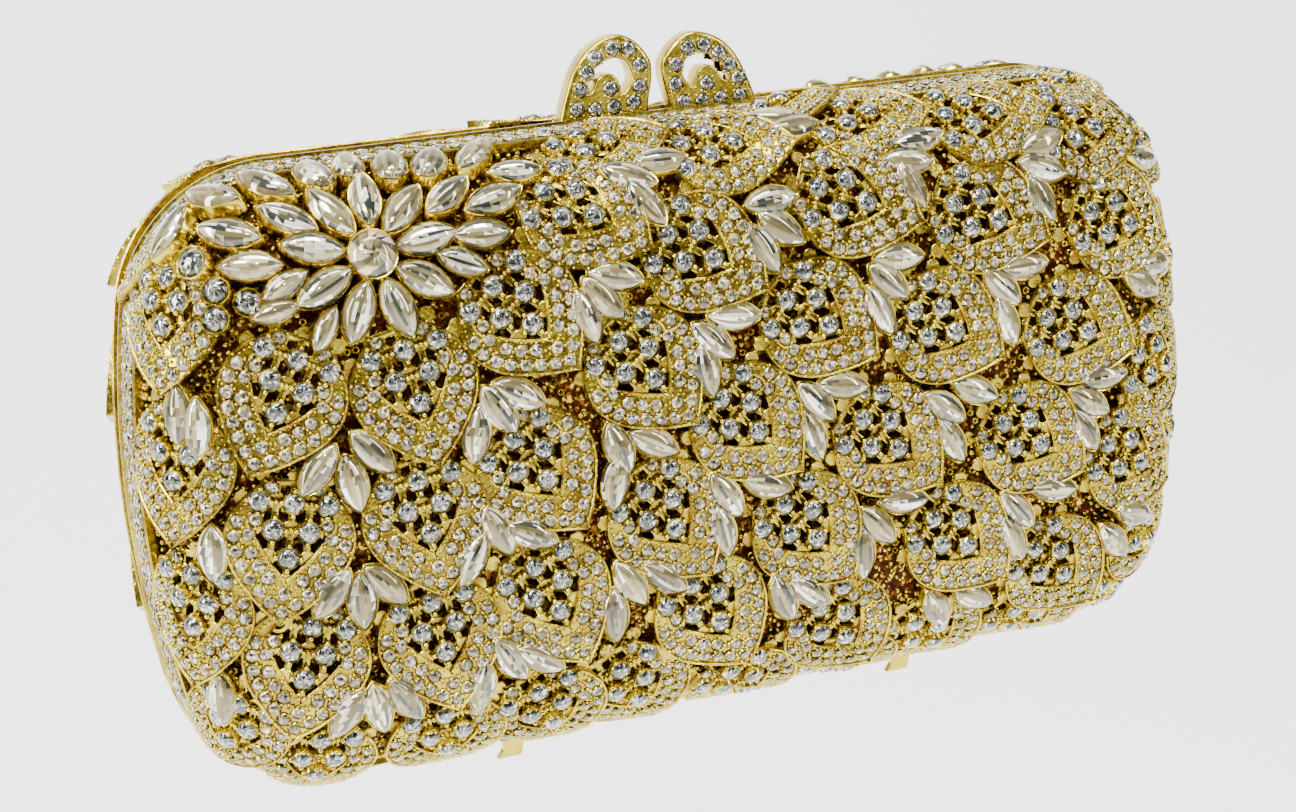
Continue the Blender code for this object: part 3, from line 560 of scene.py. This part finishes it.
def crystal(name, stops, metallic, rough):
    """Cut glass on foil: each facet's base colour holds a painted reflection, dark to near-white at random,
    standing in for the pavilion's mirror images; the ramp also holds the stone's own tint.
    """
    made, tree, shader = shader_of(name)
    # Each facet's random value picks its painted reflection from the ramp
    tone = tree.nodes.new("ShaderNodeAttribute")
    tone.attribute_name = "tone"
    tint = ramp(tree, tone.outputs["Fac"], stops)
    tree.links.new(tint.outputs["Color"], shader.inputs["Base Color"])
    shader.inputs["Metallic"].default_value = metallic
    shader.inputs["Roughness"].default_value = rough
    shader.inputs["Coat Weight"].default_value = 0.7
    shader.inputs["Coat Roughness"].default_value = 0.02
    return made


def glitter(name):
    """Dark red-brown ground with gold flakes."""
    made, tree, shader = shader_of(name)
    cells = texture(tree, "ShaderNodeTexVoronoi", 1900.0)
    split = tree.nodes.new("ShaderNodeSeparateColor")
    tree.links.new(cells.outputs["Color"], split.inputs["Color"])
    flakes = [(0.0, (0.052, 0.008, 0.002)), (0.42, (0.095, 0.022, 0.003)), (0.66, (0.22, 0.095, 0.010)),
              (0.86, (0.74, 0.55, 0.07))]
    tint = ramp(tree, split.outputs["Red"], flakes, "CONSTANT")
    tree.links.new(tint.outputs["Color"], shader.inputs["Base Color"])
    shine = ramp(tree, split.outputs["Red"], [(0.0, (0.1, 0.1, 0.1)), (0.6, (0.9, 0.9, 0.9))], "CONSTANT")
    tree.links.new(shine.outputs["Color"], shader.inputs["Metallic"])
    shader.inputs["Roughness"].default_value = 0.32
    shader.inputs["Specular IOR Level"].default_value = 0.05
    bump(tree, shader, split.outputs["Green"], 0.8, 0.0003)
    return made


def fabric(name):
    """Matt gold satin with a fine weave."""
    made, tree, shader = shader_of(name)
    cloud = noise(tree, 60.0)
    tint = ramp(tree, cloud.outputs["Fac"], [(0.3, (0.26, 0.165, 0.055)), (0.7, (0.36, 0.245, 0.090))])
    tree.links.new(tint.outputs["Color"], shader.inputs["Base Color"])
    shader.inputs["Roughness"].default_value = 0.6
    shader.inputs["Sheen Weight"].default_value = 0.15
    weave = texture(tree, "ShaderNodeTexWave", 900.0)
    bump(tree, shader, weave.outputs["Fac"], 0.3, 0.0001)
    return made


# Golds: light and deep colour, lowest and highest roughness, grain
cast_gold = gold("cast_gold", (0.54, 0.430, 0.046), (0.22, 0.120, 0.015), 0.16, 0.34, 0.35)
polished_gold = gold("polished_gold", (0.58, 0.455, 0.050), (0.34, 0.235, 0.018), 0.16, 0.30, 0.2)
bead_gold = gold("bead_gold", (0.64, 0.52, 0.065), (0.34, 0.235, 0.02), 0.14, 0.26, 0.05)
# Painted fire: rare violet and orange flashes of light painted on top of a stone's painted reflections
FLASHES = [(0.990, (0.55, 0.45, 1.0)), (1.0, (1.0, 0.55, 0.20))]
# Facet colours of the stones: a faint tint of their own, with painted reflections from dark facets up to
# near-white painted highlights
CLEAR = [(0.0, (0.005, 0.008, 0.009)), (0.25, (0.030, 0.036, 0.034)), (0.50, (0.095, 0.103, 0.086)),
         (0.75, (0.24, 0.24, 0.19)), (0.92, (0.60, 0.58, 0.46)), (0.975, (0.95, 0.95, 0.92))]
SMALL = [(0.0, (0.014, 0.011, 0.005)), (0.16, (0.055, 0.045, 0.021)), (0.50, (0.150, 0.122, 0.050)),
         (0.76, (0.29, 0.245, 0.112)), (0.93, (0.62, 0.55, 0.35)), (0.975, (0.95, 0.94, 0.88))]
CHAMPAGNE = [(0.0, (0.020, 0.023, 0.020)), (0.09, (0.062, 0.064, 0.045)), (0.18, (0.120, 0.097, 0.040)),
             (0.46, (0.205, 0.166, 0.068)), (0.70, (0.33, 0.280, 0.130)), (0.86, (0.56, 0.51, 0.33)),
             (0.95, (1.0, 0.98, 0.90))]
clear_stone = crystal("clear_stone", CLEAR + FLASHES, 0.6, 0.05)
pave_stone = crystal("pave_stone", SMALL + FLASHES, 0.3, 0.10)
champagne_stone = crystal("champagne_stone", CHAMPAGNE, 0.45, 0.06)
ground = glitter("glitter_ground")
lining = fabric("lining_satin")


def dress(node, material):
    """Give a node of the solids its material."""
    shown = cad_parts[node]
    shown.data.materials.clear()
    shown.data.materials.append(material)


for side in ("front", "back"):
    dress(side + "_frame", polished_gold)
    dress(side + "_backing", ground)
    dress(side + "_lining", lining)
    dress(side + "_foot_left", polished_gold)
    dress(side + "_foot_right", polished_gold)
for word in ("left", "right"):
    for node in ("hinge_%s_front_leaf", "hinge_%s_back_leaf", "hinge_%s_pin", "clasp_%s_paddle",
                 "chain_eyelet_%s", "chain_ring_%s"):
        dress(node % word, polished_gold)


def added(name, data):
    """New object in the scene."""
    made = bpy.data.objects.new(name, data)
    bpy.context.scene.collection.objects.link(made)
    return made


def placed(name, mesh, body, material, smooth):
    """Object that rides on a body; smooth is the angle in degrees from which edges stay sharp, or 0."""
    made = added(name, mesh)
    mesh.materials.append(material)
    if smooth:
        mesh.shade_smooth()
        mesh.set_sharp_from_angle(angle=math.radians(smooth))
    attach(made, body)
    return made


def pair(shape, name, material, smooth=0, instead=()):
    """The piece on the front half, and the same turned round on the back half."""
    for side, turned in (("front", False), ("back", True)):
        mesh = shape.mesh(side + "_" + name, turned)
        piece = placed(side + "_" + name, mesh, side + "_half", material, smooth)
        if instead:
            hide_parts(*[side + "_" + node for node in instead])


def loft(shape, rows):
    """Quads between rows of points."""
    rows = np.asarray(rows)
    count, width = rows.shape[:2]
    index = np.arange(count * width).reshape(count, width)
    quads = np.stack([index[:-1, :-1], index[1:, :-1], index[1:, 1:], index[:-1, 1:]], -1).reshape(-1, 4)
    shape.put(rows.reshape(-1, 3), (), quads)


def leaf_points(leaf, x, back, lift, height):
    """Points over a leaf's own places, held inside the seam; height is over the settled lift."""
    u, v = held(*on_leaf(leaf, x, back))
    return form(u, v, settle(u, v, lift) + height)


# Rims of a leaf's band as distance and height, from the edge and from the band's far side
OUTER_RIM = [(0.0, -LEAF_PLATE), (0.0, 0.22), (0.10, 0.42), (0.34, 0.44), (0.46, 0.30), (0.52, 0.0)]
INNER_RIM = [(-0.46, 0.0), (-0.38, 0.22), (-0.16, 0.30), (0.0, 0.16), (0.0, -LEAF_PLATE)]
plates = Shape()
for leaf in LEAVES:
    for side in (1, -1):
        rows = []
        for i in range(len(edge_x)):
            ox, ob = edge_x[i], edge_back[i]
            breadth = breadth_at(ob)
            ix = ox + inward[i, 0] * breadth
            if ox <= 0:
                share = 0.0
            else:
                share = 1.0 if ix >= 0 else ox / (ox - ix)
            wide = breadth * share
            if share >= 1.0:
                row = OUTER_RIM + [(wide + w, h) for w, h in INNER_RIM]
            else:
                row = [(min(w, wide), h) for w, h in OUTER_RIM] + [(wide, 0.0)] * len(INNER_RIM)
            ws, hs = np.array(row).T
            x = (ox + inward[i, 0] * ws) * side
            back = ob + inward[i, 1] * ws
            rows.append(leaf_points(leaf, x, back, leaf_lift(back), hs))
        loft(plates, rows if side == 1 else rows[::-1])


# Tongue of a leaf: seats with a slit between each two, held by webs at the corners of their grid
SEAT_RADIUS = 1.88
SEAT_HOLE = 1.2
SEAT_TOP = 0.06
NODE_TOP = -0.32
WEB_TOP = -0.38
WEB_WIDTH = 1.1
WEBS = [
    (0, 12.3, 0, 17.6), (0, 9.2, 0, 7.4), (0, 20.8, 0, 22.6), (1.6, 10.8, 4.6, 10.3), (2.7, 13.3, 2.9, 10.5),
    (4.2, 14.9, 5.8, 14.8), (5.4, 17.5, 5.6, 14.9), (2.7, 16.5, 2.7, 21.8), (6.9, 19.0, 8.0, 18.8),
    (5.2, 20.7, 4.6, 22.6), (0, 22.2, 4.9, 22.0),
]
NODES = [
    (0, 14.9, 1.5), (2.75, 19.2, 1.45), (-2.75, 19.2, 1.45), (3.1, 10.4, 1.4), (-3.1, 10.4, 1.4),
    (5.7, 14.9, 1.4), (-5.7, 14.9, 1.4), (0, 7.0, 1.1), (0, 23.2, 1.3), (5.3, 23.2, 1.3), (-5.3, 23.2, 1.3),
    (8.2, 19.0, 1.3), (-8.2, 19.0, 1.3),
]
STRUT_CROSS = [(-1, -0.8), (-1, -0.1), (-0.5, 0.0), (0.5, 0.0), (1, -0.1), (1, -0.8)]


def strut(leaf, ax, ab, bx, bb):
    """Flat bar between two places of a leaf."""
    long = math.hypot(bx - ax, bb - ab)
    sx, sb = -(bb - ab) / long * WEB_WIDTH / 2, (bx - ax) / long * WEB_WIDTH / 2
    rows = []
    for t in (0.0, 0.5, 1.0):
        cx, cb = ax + (bx - ax) * t, ab + (bb - ab) * t
        lift = float(leaf_lift(cb))
        rows.append([leaf_points(leaf, cx + sx * k, cb + sb * k, lift, WEB_TOP + h) for k, h in STRUT_CROSS])
    loft(plates, rows)


aside, along = np.cos(np.linspace(0, 2 * math.pi, 15)), np.sin(np.linspace(0, 2 * math.pi, 15))
for leaf in LEAVES:
    for ax, ab, bx, bb in WEBS:
        strut(leaf, ax, ab, bx, bb)
        if ax + bx > 0:
            strut(leaf, -bx, bb, -ax, ab)
    discs = [(x, back, SEAT_RADIUS, SEAT_HOLE, SEAT_TOP) for x, back in BIG]
    discs += [(x, back, radius, 0.0, NODE_TOP) for x, back, radius in NODES]
    for x, back, radius, hole, top in discs:
        lift = float(leaf_lift(back))
        steps = [(radius, -0.9), (radius, top - 0.14), (radius - 0.15, top), (hole, top)]
        loft(plates, [leaf_points(leaf, x + reach * aside, back + reach * along, lift, height)
                      for reach, height in steps])

# Grains on the bare gold between the stones of a band
GRAIN_CLEARANCE = 1.45
GRAIN_GAP = 0.85
grains = []
for i in range(len(edge_x)):
    for w in np.arange(0.95, max(breadth_at(edge_back[i]) - 0.35, 0.96), 0.62):
        for side in (1, -1):
            x, back = (edge_x[i] + inward[i, 0] * w) * side, edge_back[i] + inward[i, 1] * w
            clear = np.hypot(pave[:, 0] - x, pave[:, 1] - back).min() > GRAIN_CLEARANCE
            if clear and all((x - gx) ** 2 + (back - gb) ** 2 > GRAIN_GAP ** 2 for gx, gb in grains):
                grains.append((x, back))

# Stones of the leaves and their beads, whose sizes are radius and height
FOUR = np.array([0.0, 0.5, 1.0, 1.5]) * math.pi
PAVE_BEAD = (0.36, 0.46)
CLAW = (0.50, 0.95)
PRONG = (0.46, 0.62)
GRAIN = (0.30, 0.36)
PAVE_BEAD_REACH = 1.40
CLAW_REACH = 1.92
BEAD_GAP = 0.62
BALL_HEIGHT = 0.6


def round_beads(x, back, reach, turned, size):
    """Four beads round a stone as (x, back, radius, height)."""
    return [(x + reach * math.cos(a + turned), back + reach * math.sin(a + turned), *size) for a in FOUR]


small_stones, round_stones, settings, beads = Shape(), Shape(), Shape(), Shape()
bead_places = []
for number, leaf in enumerate(LEAVES):
    own = []
    for places, seam_gap, raised, cut, rim, radius, stones in (
            (pave, 0.8, 0.02, PAVE, PAVE_RIM, PAVE_RADIUS, small_stones),
            (BIG, 1.4, 0.30, ROUND, SLIM_RIM, BIG_RADIUS, round_stones)):
        u, v = on_leaf(leaf, places[:, 0], places[:, 1])
        lift = leaf_lift(places[:, 1])
        shown = ~hidden(u, v, lift, number) & (to_seam(u, v) >= seam_gap)
        lift = settle(u, v, lift)
        turns = chance.random(int(shown.sum()))
        heading = turns * 360 if cut is PAVE else leaf[2] + turns * 30
        origin, axes = axes_at(u[shown], v[shown], lift[shown] + raised, heading)
        stones.stamp(cut, origin, axes, radius)
        settings.stamp(rim, origin, axes, radius)
        for x, back in places[shown]:
            if cut is PAVE:
                own += round_beads(x, back, PAVE_BEAD_REACH, math.pi / 4, PAVE_BEAD)
            else:
                own += round_beads(x, back, CLAW_REACH, 0.0, CLAW)
    own += [(x, back, *PRONG) for x, back, _ in NODES[:3]]
    own += [(x, back, *GRAIN) for x, back in grains]
    bead_places.append(own)

for number, (leaf, own) in enumerate(zip(LEAVES, bead_places)):
    chosen = []
    for bead in own:
        if all((bead[0] - c[0]) ** 2 + (bead[1] - c[1]) ** 2 > BEAD_GAP ** 2 for c in chosen):
            chosen.append(bead)
    x, back, size, height = np.array(chosen).T
    u, v = on_leaf(leaf, x, back)
    lift = leaf_lift(back)
    shown = ~hidden(u, v, lift, number) & (to_seam(u, v) >= 0.3)
    lift = settle(u, v, lift)
    origin, axes = axes_at(u[shown], v[shown], lift[shown] + height[shown] * 0.55, 0.0)
    sizes = np.stack([size[shown], size[shown], size[shown] * 0.5 + height[shown] * 0.4], -1)
    high = height[shown] > BALL_HEIGHT
    beads.stamp(BALL, origin[high], axes[high], sizes[high])
    beads.stamp(DOT, origin[~high], axes[~high], sizes[~high])

# Beads and small rings on the ground between the leaves
TRIES = 26000
GROUND_LIFT = -2.5
CELL = 1.5
LOOSE_GAP = 0.12
RINGED_FROM = 0.56
across, up = chance.uniform(-107, 107, TRIES), chance.uniform(-64, 64, TRIES)
sizes = 0.30 + 0.38 * chance.random(TRIES)
free = (to_seam(across, up) > 7.2) & ~hidden(across, up, np.full(TRIES, -3.0), None, 0.1)
grid, chosen = {}, []
for u, v, size in zip(across[free], up[free], sizes[free]):
    cell = (int(u // CELL), int(v // CELL))
    near = [q for i in (-1, 0, 1) for j in (-1, 0, 1) for q in grid.get((cell[0] + i, cell[1] + j), [])]
    if all((u - q[0]) ** 2 + (v - q[1]) ** 2 > (size + q[2] + LOOSE_GAP) ** 2 for q in near):
        grid.setdefault(cell, []).append((u, v, size))
        chosen.append((u, v, size))
chosen = np.array(chosen)
origin, axes = axes_at(chosen[:, 0], chosen[:, 1], GROUND_LIFT, chance.random(len(chosen)) * 360)
loose = Shape()
ringed = chosen[:, 2] > RINGED_FROM
loose.stamp(BALL, origin[~ringed], axes[~ringed], chosen[~ringed, 2:])
loose.stamp(RINGLET, origin[ringed], axes[ringed], chosen[ringed, 2:])

# Fans of marquise stones
FAN_SIZE = (2.42, 4.75, 1.75)
FAN_LIFT = -0.75
fan_u, fan_v, fan_h = np.array(MARQUISES, float).T
marquise_stones, bezels = Shape(), Shape()
shown = ~hidden(fan_u, fan_v, np.full(len(fan_u), -0.6), None, -2.6)
origin, axes = axes_at(fan_u[shown], fan_v[shown], FAN_LIFT, fan_h[shown])
marquise_stones.stamp(MARQUISE, origin, axes, FAN_SIZE)
bezels.stamp(LENS_RIM, origin, axes, FAN_SIZE)

# Flower: petals round a centre, outer ones of which the small upper ones are oval, and round stones beside it
CENTRE_SIZE = (3.7, 3.7, 2.9)
CENTRE_LIFT = 0.55
OUTER_LIFT = -0.25
petal = np.array(flower_petals)
flower_stones, oval_stones, flower_centre = Shape(), Shape(), Shape()
inner = petal[:len(INNER)]
origin, axes = axes_at(inner[:, 0], inner[:, 1], 0.0, inner[:, 2])
flower_stones.stamp(MARQUISE, origin, axes, (2.45, 4.95, 2.0))
bezels.stamp(LENS_RIM, origin, axes, (2.45, 4.95, 1.9))
outer = petal[len(INNER):]
ovals = np.array([s < 0.92 and v > 52 for (_, v, _, s) in OUTER])
for which, cut, rim, wider, longer, target in (
        (~ovals, MARQUISE, LENS_RIM, 1.06, 1.04, marquise_stones),
        (ovals, OVAL, OVAL_RIM, 1.30, 0.85, oval_stones)):
    some = outer[which]
    origin, axes = axes_at(some[:, 0], some[:, 1], OUTER_LIFT, some[:, 2])
    sizes = np.stack([some[:, 4] * wider, some[:, 3] * longer, np.full(len(some), 1.9)], -1)
    target.stamp(cut, origin, axes, sizes)
    bezels.stamp(rim, origin, axes, sizes)
origin, axes = axes_at([FLOWER[0]], [FLOWER[1]], CENTRE_LIFT, 0.0)
flower_centre.stamp(ROUND, origin, axes, CENTRE_SIZE)
bezels.stamp(FLUSH_RIM, origin, axes, CENTRE_SIZE)
for u, v, radius in ROUND_BEZELS:
    origin, axes = axes_at([u], [v], 0.1, 0.0)
    round_stones.stamp(ROUND, origin, axes, radius)
    settings.stamp(ROUND_RIM, origin, axes, radius)


def outline_places(distance, count=0):
    """Flat places round the bag at a distance in mm past the flat face, evenly spaced if there is a count."""
    quarter = []
    for angle in BOW * np.linspace(0, 1, 14, endpoint=False):
        nx, nz = math.cos(angle), math.sin(angle)
        quarter.append((END_CENTRE + END_CORE * nx, END_CORE * nz, nx, nz))
    for angle in BOW + (math.pi / 2 - BOW) * np.linspace(0, 1, 22):
        quarter.append((CORE_X, CORE_Z, math.cos(angle), math.sin(angle)))
    for share in np.linspace(0, 1, 12)[1:]:
        quarter.append((CORE_X * (1 - share), CORE_Z, 0.0, 1.0))
    ring = []
    for mirror_x, mirror_z in ((1, 1), (-1, 1), (-1, -1), (1, -1)):
        part = quarter if mirror_x == mirror_z else quarter[::-1]
        ring += [(x * mirror_x, z * mirror_z, nx * mirror_x, nz * mirror_z) for x, z, nx, nz in part[:-1]]
    ring = np.array(ring)
    u = ring[:, 0] / MM + ring[:, 2] * distance
    v = ring[:, 1] / MM + ring[:, 3] * distance
    if count:
        u, v = np.append(u, u[0]), np.append(v, v[0])
        far = distance_along(u, v)
        even = np.linspace(0, far[-1], count, endpoint=False)
        return np.interp(even, far, u), np.interp(even, far, v)
    return u, v


# Band along the seam: distance from the seam and lift of its cross-section, then its two rows of stones
BAND_CROSS = [(7.0, -2.4), (7.0, -0.9), (6.8, -0.65), (6.5, -0.7), (6.4, -1.0), (0.75, -0.7), (0.6, -0.15),
              (0.2, -0.15), (0.0, -0.35), (0.0, -2.4)]
BAND_ROWS = [(2.2, 0.0), (4.9, 0.5)]
BAND_PITCH = 2.95
BAND_LIFT = -0.85
band = Shape()
rows = []
for distance, lift in BAND_CROSS:
    u, v = outline_places(SEAM - distance)
    rows.append(form(np.append(u, u[0]), np.append(v, v[0]), lift))
loft(band, rows)
for distance, shift in BAND_ROWS:
    u, v = outline_places(SEAM - distance)
    count = int(distance_along(np.append(u, u[0]), np.append(v, v[0]))[-1] / BAND_PITCH)
    u, v = outline_places(SEAM - distance, count)
    u, v = u + shift * (np.roll(u, -1) - u), v + shift * (np.roll(v, -1) - v)
    lift = np.full(count, BAND_LIFT)
    shown = ~hidden(u, v, lift)
    origin, axes = axes_at(u[shown], v[shown], lift[shown], chance.random(int(shown.sum())) * 360)
    small_stones.stamp(PAVE, origin, axes, (1.22, 1.22, 1.15))
    half_u, half_v = (u + np.roll(u, -1)) / 2, (v + np.roll(v, -1)) / 2
    shown = ~hidden(half_u, half_v, lift)
    origin, axes = axes_at(half_u[shown], half_v[shown], -0.65, 0.0)
    beads.stamp(BEAD, origin, axes, (0.34, 0.34, 0.35))

pair(plates, "leaf_plates", cast_gold, 38, ["shell"])
pair(band, "edge_band", cast_gold, 38)
pair(small_stones, "pave_stones", pave_stone)
pair(round_stones, "round_stones", clear_stone)
pair(settings, "round_settings", bead_gold, 50)
pair(beads, "beads", bead_gold, 80)
pair(loose, "loose_beads", cast_gold, 80)
pair(marquise_stones, "marquise_stones", champagne_stone)
pair(oval_stones, "oval_stones", champagne_stone)
pair(flower_stones, "flower_petals", champagne_stone, 0,
     ["flower_petal_%d" % n for n in range(1, len(INNER) + 1)])
pair(flower_centre, "flower_stone", pave_stone, 0, ["flower_centre"])
pair(bezels, "bezels", bead_gold, 50)

# Clasp stones: aside from the seam's middle and above the lip's top, in mm
LIP_TOP = 105.2
CLASP = {
    "left": [(-14.6, 2.2), (-11.4, 1.9), (-8.1, 2.0), (-4.6, 2.4), (-3.3, 4.7), (-3.1, 8.1), (-4.9, 10.7),
             (-7.7, 11.0), (-10.8, 9.9), (-12.5, 7.7), (-13.7, 5.2), (-8.5, 4.9)],
    "right": [(4.3, 1.6), (7.7, 1.4), (11.0, 1.5), (14.6, 1.5), (14.5, 4.6), (13.0, 6.9), (11.2, 9.1),
              (8.6, 10.6), (5.6, 10.4), (3.3, 7.9), (3.1, 4.7), (8.7, 4.2)],
}
CLASP_STONE = (1.34, 1.34, 1.0)
PADDLE_HEIGHT = {"left": 13.8, "right": 13.0}
PADDLE_START = 0.9
PADDLE_LENGTH = 16.9
PADDLE_HALF = 1.95
# Shares of a paddle's length from the inner side and of its height
PADDLE_OUTLINE = [
    (1.0, 0.0), (0.955, 0.20), (0.86, 0.51), (0.77, 0.71), (0.645, 0.87), (0.48, 0.975), (0.32, 1.0),
    (0.195, 0.94), (0.095, 0.83), (0.01, 0.67), (0.0, 0.53), (0.012, 0.39), (0.047, 0.21), (0.07, 0.0),
]
PADDLE_WINDOW = [
    (0.53, 0.685), (0.38, 0.73), (0.275, 0.68), (0.225, 0.57), (0.215, 0.46), (0.28, 0.345), (0.335, 0.30),
    (0.345, 0.42), (0.40, 0.53), (0.49, 0.56), (0.57, 0.51), (0.61, 0.42), (0.65, 0.36), (0.70, 0.33),
    (0.73, 0.36), (0.66, 0.54),
]


def through(points, closed):
    """Smooth line through the points."""
    points = np.asarray(points, float)
    count, out = len(points), []
    for i in range(count if closed else count - 1):
        picks = [i - 1, i, i + 1, i + 2]
        a, b, c, d = points[[k % count if closed else min(max(k, 0), count - 1) for k in picks]]
        for t in np.arange(6) / 6:
            out.append(0.5 * (2 * b + (c - a) * t + (2 * a - 5 * b + 4 * c - d) * t ** 2
                              + (3 * b - a - 3 * c + d) * t ** 3))
    return np.array(out if closed else out + [points[-1]])


def inset_loop(loop, inset):
    """The loop drawn into its material; a negative inset widens it."""
    ahead = np.roll(loop, -1, 0) - np.roll(loop, 1, 0)
    ahead /= np.linalg.norm(ahead, axis=-1, keepdims=True)
    area = np.sum(loop[:, 0] * np.roll(loop[:, 1], -1) - np.roll(loop[:, 0], -1) * loop[:, 1])
    side = 1.0 if area > 0 else -1.0
    return loop + np.stack([-ahead[:, 1], ahead[:, 0]], -1) * inset * side


def rounded_plate(loops, half, radii):
    """Plate with rounded edges between loops, the first the outline and the rest its windows."""
    made = Shape()
    caps = []
    for number, (loop, radius) in enumerate(zip(loops, radii)):
        sign = 1 if number == 0 else -1
        front_rows = [(sign * radius * (1 - math.sin(a)), half - radius * (1 - math.cos(a)))
                      for a in np.linspace(0, math.pi / 2, 5)]
        rows = front_rows + [(inset, -level) for inset, level in front_rows[::-1]]
        rings = []
        for inset, level in rows:
            flat = inset_loop(loop, inset)
            ring = np.stack([flat[:, 0], np.full(len(flat), -level), flat[:, 1]], -1)
            rings.append(np.concatenate([ring, ring[:1]]))
        loft(made, np.array(rings) * MM)
        caps.append(inset_loop(loop, sign * radius))
    corners = [Vector((x, z, 0)) for cap in caps for x, z in cap]
    filled = np.array(tessellate_polygon([[Vector((x, z, 0)) for x, z in cap] for cap in caps]))
    for level in (half, -half):
        points = np.array([(c.x, -level, c.y) for c in corners]) * MM
        made.put(points, filled if level > 0 else filled[:, ::-1])
    return made


for word, body in (("left", "front_half"), ("right", "back_half")):
    name, side, tall = "clasp_" + word, (-1 if word == "left" else 1), PADDLE_HEIGHT[word]
    loops = [np.stack([side * (PADDLE_START + line[:, 0] * PADDLE_LENGTH), LIP_TOP + line[:, 1] * tall], -1)
             for line in (through(PADDLE_OUTLINE, False), through(PADDLE_WINDOW, True))]
    plate = rounded_plate(loops, PADDLE_HALF, (0.75, 0.35))
    made = placed(name + "_plate", plate.mesh(name + "_plate"), body, polished_gold, 50)
    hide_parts("clasp_%s_paddle" % word)
    gems, rims, dots = Shape(), Shape(), Shape()
    taller = tall / PADDLE_HEIGHT["right"]
    for facing in (-1, 1):
        axes = np.array([[(-facing, 0, 0), (0, 0, facing), (0, 1, 0)]], float)
        for x, z in CLASP[word]:
            origin = np.array([[x * MM, facing * 1.86 * MM, (LIP_TOP + z * taller) * MM]])
            gems.stamp(ROUND, origin, axes, CLASP_STONE)
            rims.stamp(FLUSH_RIM, origin, axes, CLASP_STONE)
            for a in FOUR + math.pi / 4:
                spot = origin + np.array([[1.46 * math.cos(a), facing * 0.15, 1.46 * math.sin(a)]]) * MM
                dots.stamp(BEAD, spot, axes, (0.30, 0.30, 0.45))
    placed(name + "_stones", gems.mesh(name + "_stones"), body, clear_stone, 0)
    placed(name + "_settings", rims.mesh(name + "_settings"), body, bead_gold, 50)
    placed(name + "_beads", dots.mesh(name + "_beads"), body, bead_gold, 80)


# Studio
LIT = Vector((0, 0, 0.05))


def aim(azimuth, elevation, distance, target):
    """Place on a bearing from the target, and the direction to it."""
    a, e = math.radians(azimuth), math.radians(elevation)
    back = Vector((math.sin(a) * math.cos(e), -math.cos(a) * math.cos(e), math.sin(e)))
    return target + back * distance, back


def area(name, azimuth, elevation, distance, size, power):
    """Light that faces the bag; its size in metres, power in watts."""
    made = added(name, bpy.data.lights.new(name, "AREA"))
    made.data.shape = "RECTANGLE"
    made.data.size, made.data.size_y = size
    made.data.energy = power
    made.location, back = aim(azimuth, elevation, distance, LIT)
    made.rotation_mode = "QUATERNION"
    made.rotation_quaternion = back.to_track_quat("Z", "Y")


area("key", -40, 48, 1.2, (0.35, 0.35), 17)
area("left_strip", -80, 18, 1.0, (0.2, 0.8), 15)
area("right_strip", 48, 22, 1.1, (0.10, 0.7), 6)
area("top", 5, 78, 1.0, (0.6, 0.25), 14)
area("spark", -12, 33, 1.6, (0.05, 0.05), 7)

world = bpy.data.worlds.new("studio")
bpy.context.scene.world = world
world.use_nodes = True
sky = world.node_tree
back_shade = sky.nodes["Background"]
place = sky.nodes.new("ShaderNodeTexCoord")
split = sky.nodes.new("ShaderNodeSeparateXYZ")
sky.links.new(place.outputs["Generated"], split.inputs["Vector"])
grade = ramp(sky, split.outputs["Z"], [(0.0, (0.10, 0.10, 0.10)), (0.30, (0.30, 0.30, 0.30)),
                                       (0.9, (0.9, 0.9, 0.9))])
sky.links.new(grade.outputs["Color"], back_shade.inputs["Color"])
back_shade.inputs["Strength"].default_value = 0.72

# Paper that runs up into a backdrop, so far below that no shadow shows and the opened half doesn't reach it
REACH, DROP, FLAT, BEND, HIGH = 3.0, -0.35, 0.6, 0.8, 3.5
curve = [(FLAT + BEND * math.sin(a), DROP + BEND - BEND * math.cos(a))
         for a in np.linspace(0, math.pi / 2, 12)[1:]]
profile = [(-REACH, DROP), (FLAT, DROP), *curve, (FLAT + BEND, HIGH)]
paper = Shape()
loft(paper, [[(x, y, z) for y, z in profile] for x in (-REACH, REACH)])
floor = added("floor", paper.mesh("floor"))
floor.data.shade_smooth()
white, tree, shader = shader_of("floor_white")
grain = noise(tree, 3.0)
pale = ramp(tree, grain.outputs["Fac"], [(0.0, (0.93, 0.93, 0.93)), (1.0, (0.96, 0.96, 0.96))])
tree.links.new(pale.outputs["Color"], shader.inputs["Base Color"])
shader.inputs["Roughness"].default_value = 0.9
shader.inputs["Emission Color"].default_value = (1, 1, 1, 1)
shader.inputs["Emission Strength"].default_value = 1.35
floor.data.materials.append(white)
floor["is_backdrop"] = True

# Camera, fitted to the bag's outline in the photograph
PHOTO_WIDTH = 1296
FOCAL_PIXELS = 2207
SENSOR = 36
camera = added("camera", bpy.data.cameras.new("camera"))
spot, back = aim(-20.735, 15.154, 0.379767, Vector((-0.00521, 0.0, STAND + 0.000599)))
right = (-back).cross(Vector((0, 0, 1))).normalized()
up = right.cross(-back)
roll = math.radians(-4.082)
turned_right = right * math.cos(roll) + up * math.sin(roll)
turned_up = up * math.cos(roll) - right * math.sin(roll)
matrix = Matrix((turned_right, turned_up, back)).transposed().to_4x4()
matrix.translation = spot
camera.matrix_world = matrix
camera.data.lens = FOCAL_PIXELS / PHOTO_WIDTH * SENSOR
camera.data.sensor_width = SENSOR
camera.data.clip_start = 0.01
bpy.context.scene.camera = camera

low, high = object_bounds()
